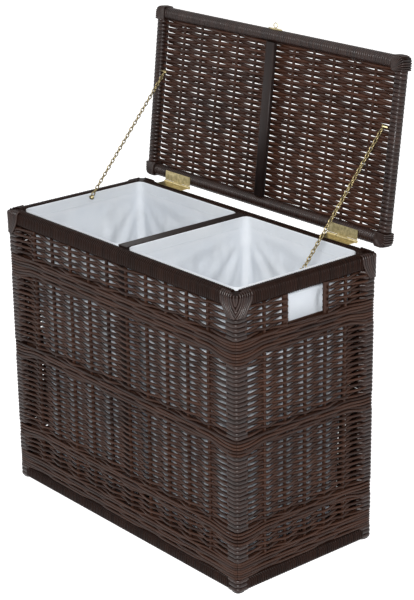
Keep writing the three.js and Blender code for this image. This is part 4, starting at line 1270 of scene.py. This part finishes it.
# %% Thicken the bags and make the hem
HEM_SECTION = [(0.0, 25), (0.7, 25), (1.1, 24.5), (1.2, 23), (1.6, 3), (1.7, 1.4), (1.3, 0.3), (0.5, 0.0),
               (0.0, 1.0)]
HEM_OFF = 0.2 * MM
SEAM_END = 58  # the ring before the bottom, where the corner seams stop
CLOTH_THICK = 1.2 * MM
THREAD_IN, THREAD_UP = 2.0 * MM, 3 * MM
UP = Vector(Z)


def mark_doubled(piece, values):
    """Marks where the cloth lies double, for the cotton to read."""
    piece.data.attributes.new("doubled", "FLOAT", "POINT").data.foreach_set("value", np.array(values, float))


def seams(count):
    """1 for the points of the hem and of the corner seams."""
    ring, column = np.divmod(np.arange(count), AROUND)
    far = np.abs(column[:, None] - np.cumsum((0,) + SIDE_POINTS[:-1]))
    near = np.minimum(far, AROUND - far).min(axis=1)
    return (ring < HEM_RINGS) | ((near <= 1) & (ring < SEAM_END))


def thicken(piece, thickness):
    piece.data.polygons.foreach_set("use_smooth", [True] * len(piece.data.polygons))
    shell = piece.modifiers.new("second face", "SOLIDIFY")
    shell.thickness = thickness
    shell.offset = -1.0
    smooth = piece.modifiers.new("smooth", "SUBSURF")
    smooth.levels = smooth.render_levels = 1
    piece.data = baked(piece)
    return outward(piece)


def hem_line(side):
    """The top ring of a bag and its middle."""
    ring = bag_ring(side, 0.0)[0]
    return ring, sum(ring, Vector()) / len(ring)


def hem_strip(name, side):
    """A closed strip with a rolled upper edge that covers the top of the bag on its inside."""
    ring, middle = hem_line(side)
    rings = []
    for index, point in enumerate(ring):
        run = ring[(index + 1) % AROUND] - ring[index - 1]
        inward = Vector((-run.y, run.x, 0)).normalized()
        inward = inward if inward.dot(middle - point) > 0 else -inward
        rings.append([point + inward * (off * MM + HEM_OFF) - UP * (depth * MM)
                      for off, depth in HEM_SECTION])
    strip = skin(name, rings, loop=True)
    mark_doubled(strip, [1.0] * len(strip.data.vertices))
    return outward(strip)


print("hem ready")

# %% Sew the bags
def stitch_tree():
    tree = Tree("Stitches along a line", takes_mesh=True, Length=3.0 * MM, Gap=1.3 * MM, Thread=0.7 * MM,
                Finish=COTTON)
    line = tree.geo("MeshToCurve", tree["Geometry"])
    points = tree.geo("CurveToPoints", line, mode="LENGTH")
    spread = points.socket.node
    tree.join(tree["Length"] + tree["Gap"], spread.inputs["Length"])
    stitch = tree.geo("MeshCylinder", 5, 1, 1, tree["Thread"] / 2.0, tree["Length"])
    turn = Field(tree, spread.outputs["Rotation"])
    return tree.close(tree.geo("InstanceOnPoints", points, None, stitch, None, None, turn))


stitches = stitch_tree()


def sewn_bag(side):
    name = f"cotton_liner_{side}"
    bag, slack = lay_out(side, name)
    drape(bag, side, slack)
    mark_doubled(bag, seams(len(bag.data.vertices)))
    thicken(bag, CLOTH_THICK)
    ring, middle = hem_line(side)
    seam = [point + (middle - point).normalized() * THREAD_IN - UP * (HEM - THREAD_UP) for point in ring]
    thread = grow(stitches, f"{name}_stitches", line=seam)
    whole = join_pieces(name, [bag, hem_strip(f"{name}_hem", side), thread])
    whole.data.materials.clear()
    whole.data.materials.append(COTTON)
    return whole


for side, (low, high) in BAG_LIMITS.items():
    bag = on_chest(sewn_bag(side), "cotton", f"liner_{side}")
    long, wide, tall = high - low, 2 * BAG_HALF_Y, LINER_TOP - LINER_FOOT

# %% [markdown]
# ## Floor, light and camera
# The photograph is a catalogue picture: a white ground and little shadow. The strongest lamp stands beside
# the camera and two soft ones fill in. The floor and the world turn white only for the camera and for
# reflections, by the Light Path node, so the white ground adds no light to the object.

# %% Make the floor and the world
FLOOR_HALF = 9.0
FLOOR_Z = -0.2 * MM
SKY_LIGHT = 0.4
WHITE = (1.0, 1.0, 1.0, 1.0)


def white_to_camera(graph):
    """1 for rays from the camera, from glossy surfaces and through glass."""
    path = [graph.node("ShaderNodeLightPath", out=index) for index in (0, 3, 6)]
    return graph.clamp(path[0] + path[1] + path[2])


def make_floor():
    finish = Finish("pale_floor", Roughness=0.9, Base_Color=(0.86, 0.86, 0.87, 1.0), Emission_Color=WHITE)
    finish.set("Emission Strength", white_to_camera(finish) * 0.8)
    corners = [(x * FLOOR_HALF, y * FLOOR_HALF, FLOOR_Z) for x, y in ((-1, -1), (1, -1), (1, 1), (-1, 1))]
    skin("floor", [corners], caps=(0,), material=finish.material)


def make_world():
    world = bpy.data.worlds.new("studio")
    world.use_nodes = True
    bpy.context.scene.world = world
    sky = Graph(world.node_tree)
    ground = world.node_tree.nodes["Background"]
    sky.join(WHITE, ground.inputs["Color"])
    sky.join(SKY_LIGHT + white_to_camera(sky) * (1.0 - SKY_LIGHT), ground.inputs["Strength"])


make_floor()
make_world()
print("floor and world ready")

# %% Place the lamps
def softbox(name, place, target, size, power):
    lamp = bpy.data.lights.new(name, "AREA")
    lamp.shape = "RECTANGLE"
    lamp.size, lamp.size_y = size
    lamp.energy = power
    holder = link(name, lamp)
    holder.location = place
    holder.rotation_euler = (Vector(target) - Vector(place)).to_track_quat("-Z", "Y").to_euler()


softbox("flash", (2.6, -2.3, 1.95), (0, 0, 0.35), (0.4, 0.3), 132.0)
softbox("top", (0.1, -0.3, 2.9), (0, -0.1, 0.5), (1.8, 1.4), 9.5)
softbox("side", (-2.2, -1.4, 1.8), (0, 0, 0.4), (1.2, 1.6), 5.0)
print("lamps ready")

# %% [markdown]
# The camera stands where the lines of the photograph meet. Its place, its turn, its rise and its roll were
# fitted to points of the rim, the foot and the lid.

# %% Stand the camera where the photograph was taken
def photo_camera():
    turn, rise, roll = (math.radians(angle) for angle in (49.88, 19.90, -0.80))
    back = Vector((math.sin(turn) * math.cos(rise), -math.cos(turn) * math.cos(rise), math.sin(rise)))
    right = Vector(Z).cross(back).normalized()
    up = back.cross(right)
    x_axis = right * math.cos(roll) + up * math.sin(roll)
    y_axis = up * math.cos(roll) - right * math.sin(roll)
    data = bpy.data.cameras.new("photo_camera")
    data.sensor_width = 36.0
    data.lens = 106.92
    data.shift_x, data.shift_y = -0.0007, 0.0035
    data.clip_start = 0.05
    camera = link("photo_camera", data)
    axes = Matrix((x_axis, y_axis, back)).transposed().to_4x4()
    camera.matrix_world = Matrix.Translation((2.6276, -2.1941, 1.6846)) @ axes
    bpy.context.scene.camera = camera


photo_camera()
bpy.context.scene.view_settings.view_transform = "Standard"
print("camera ready")


bpy.context.view_layer.update()
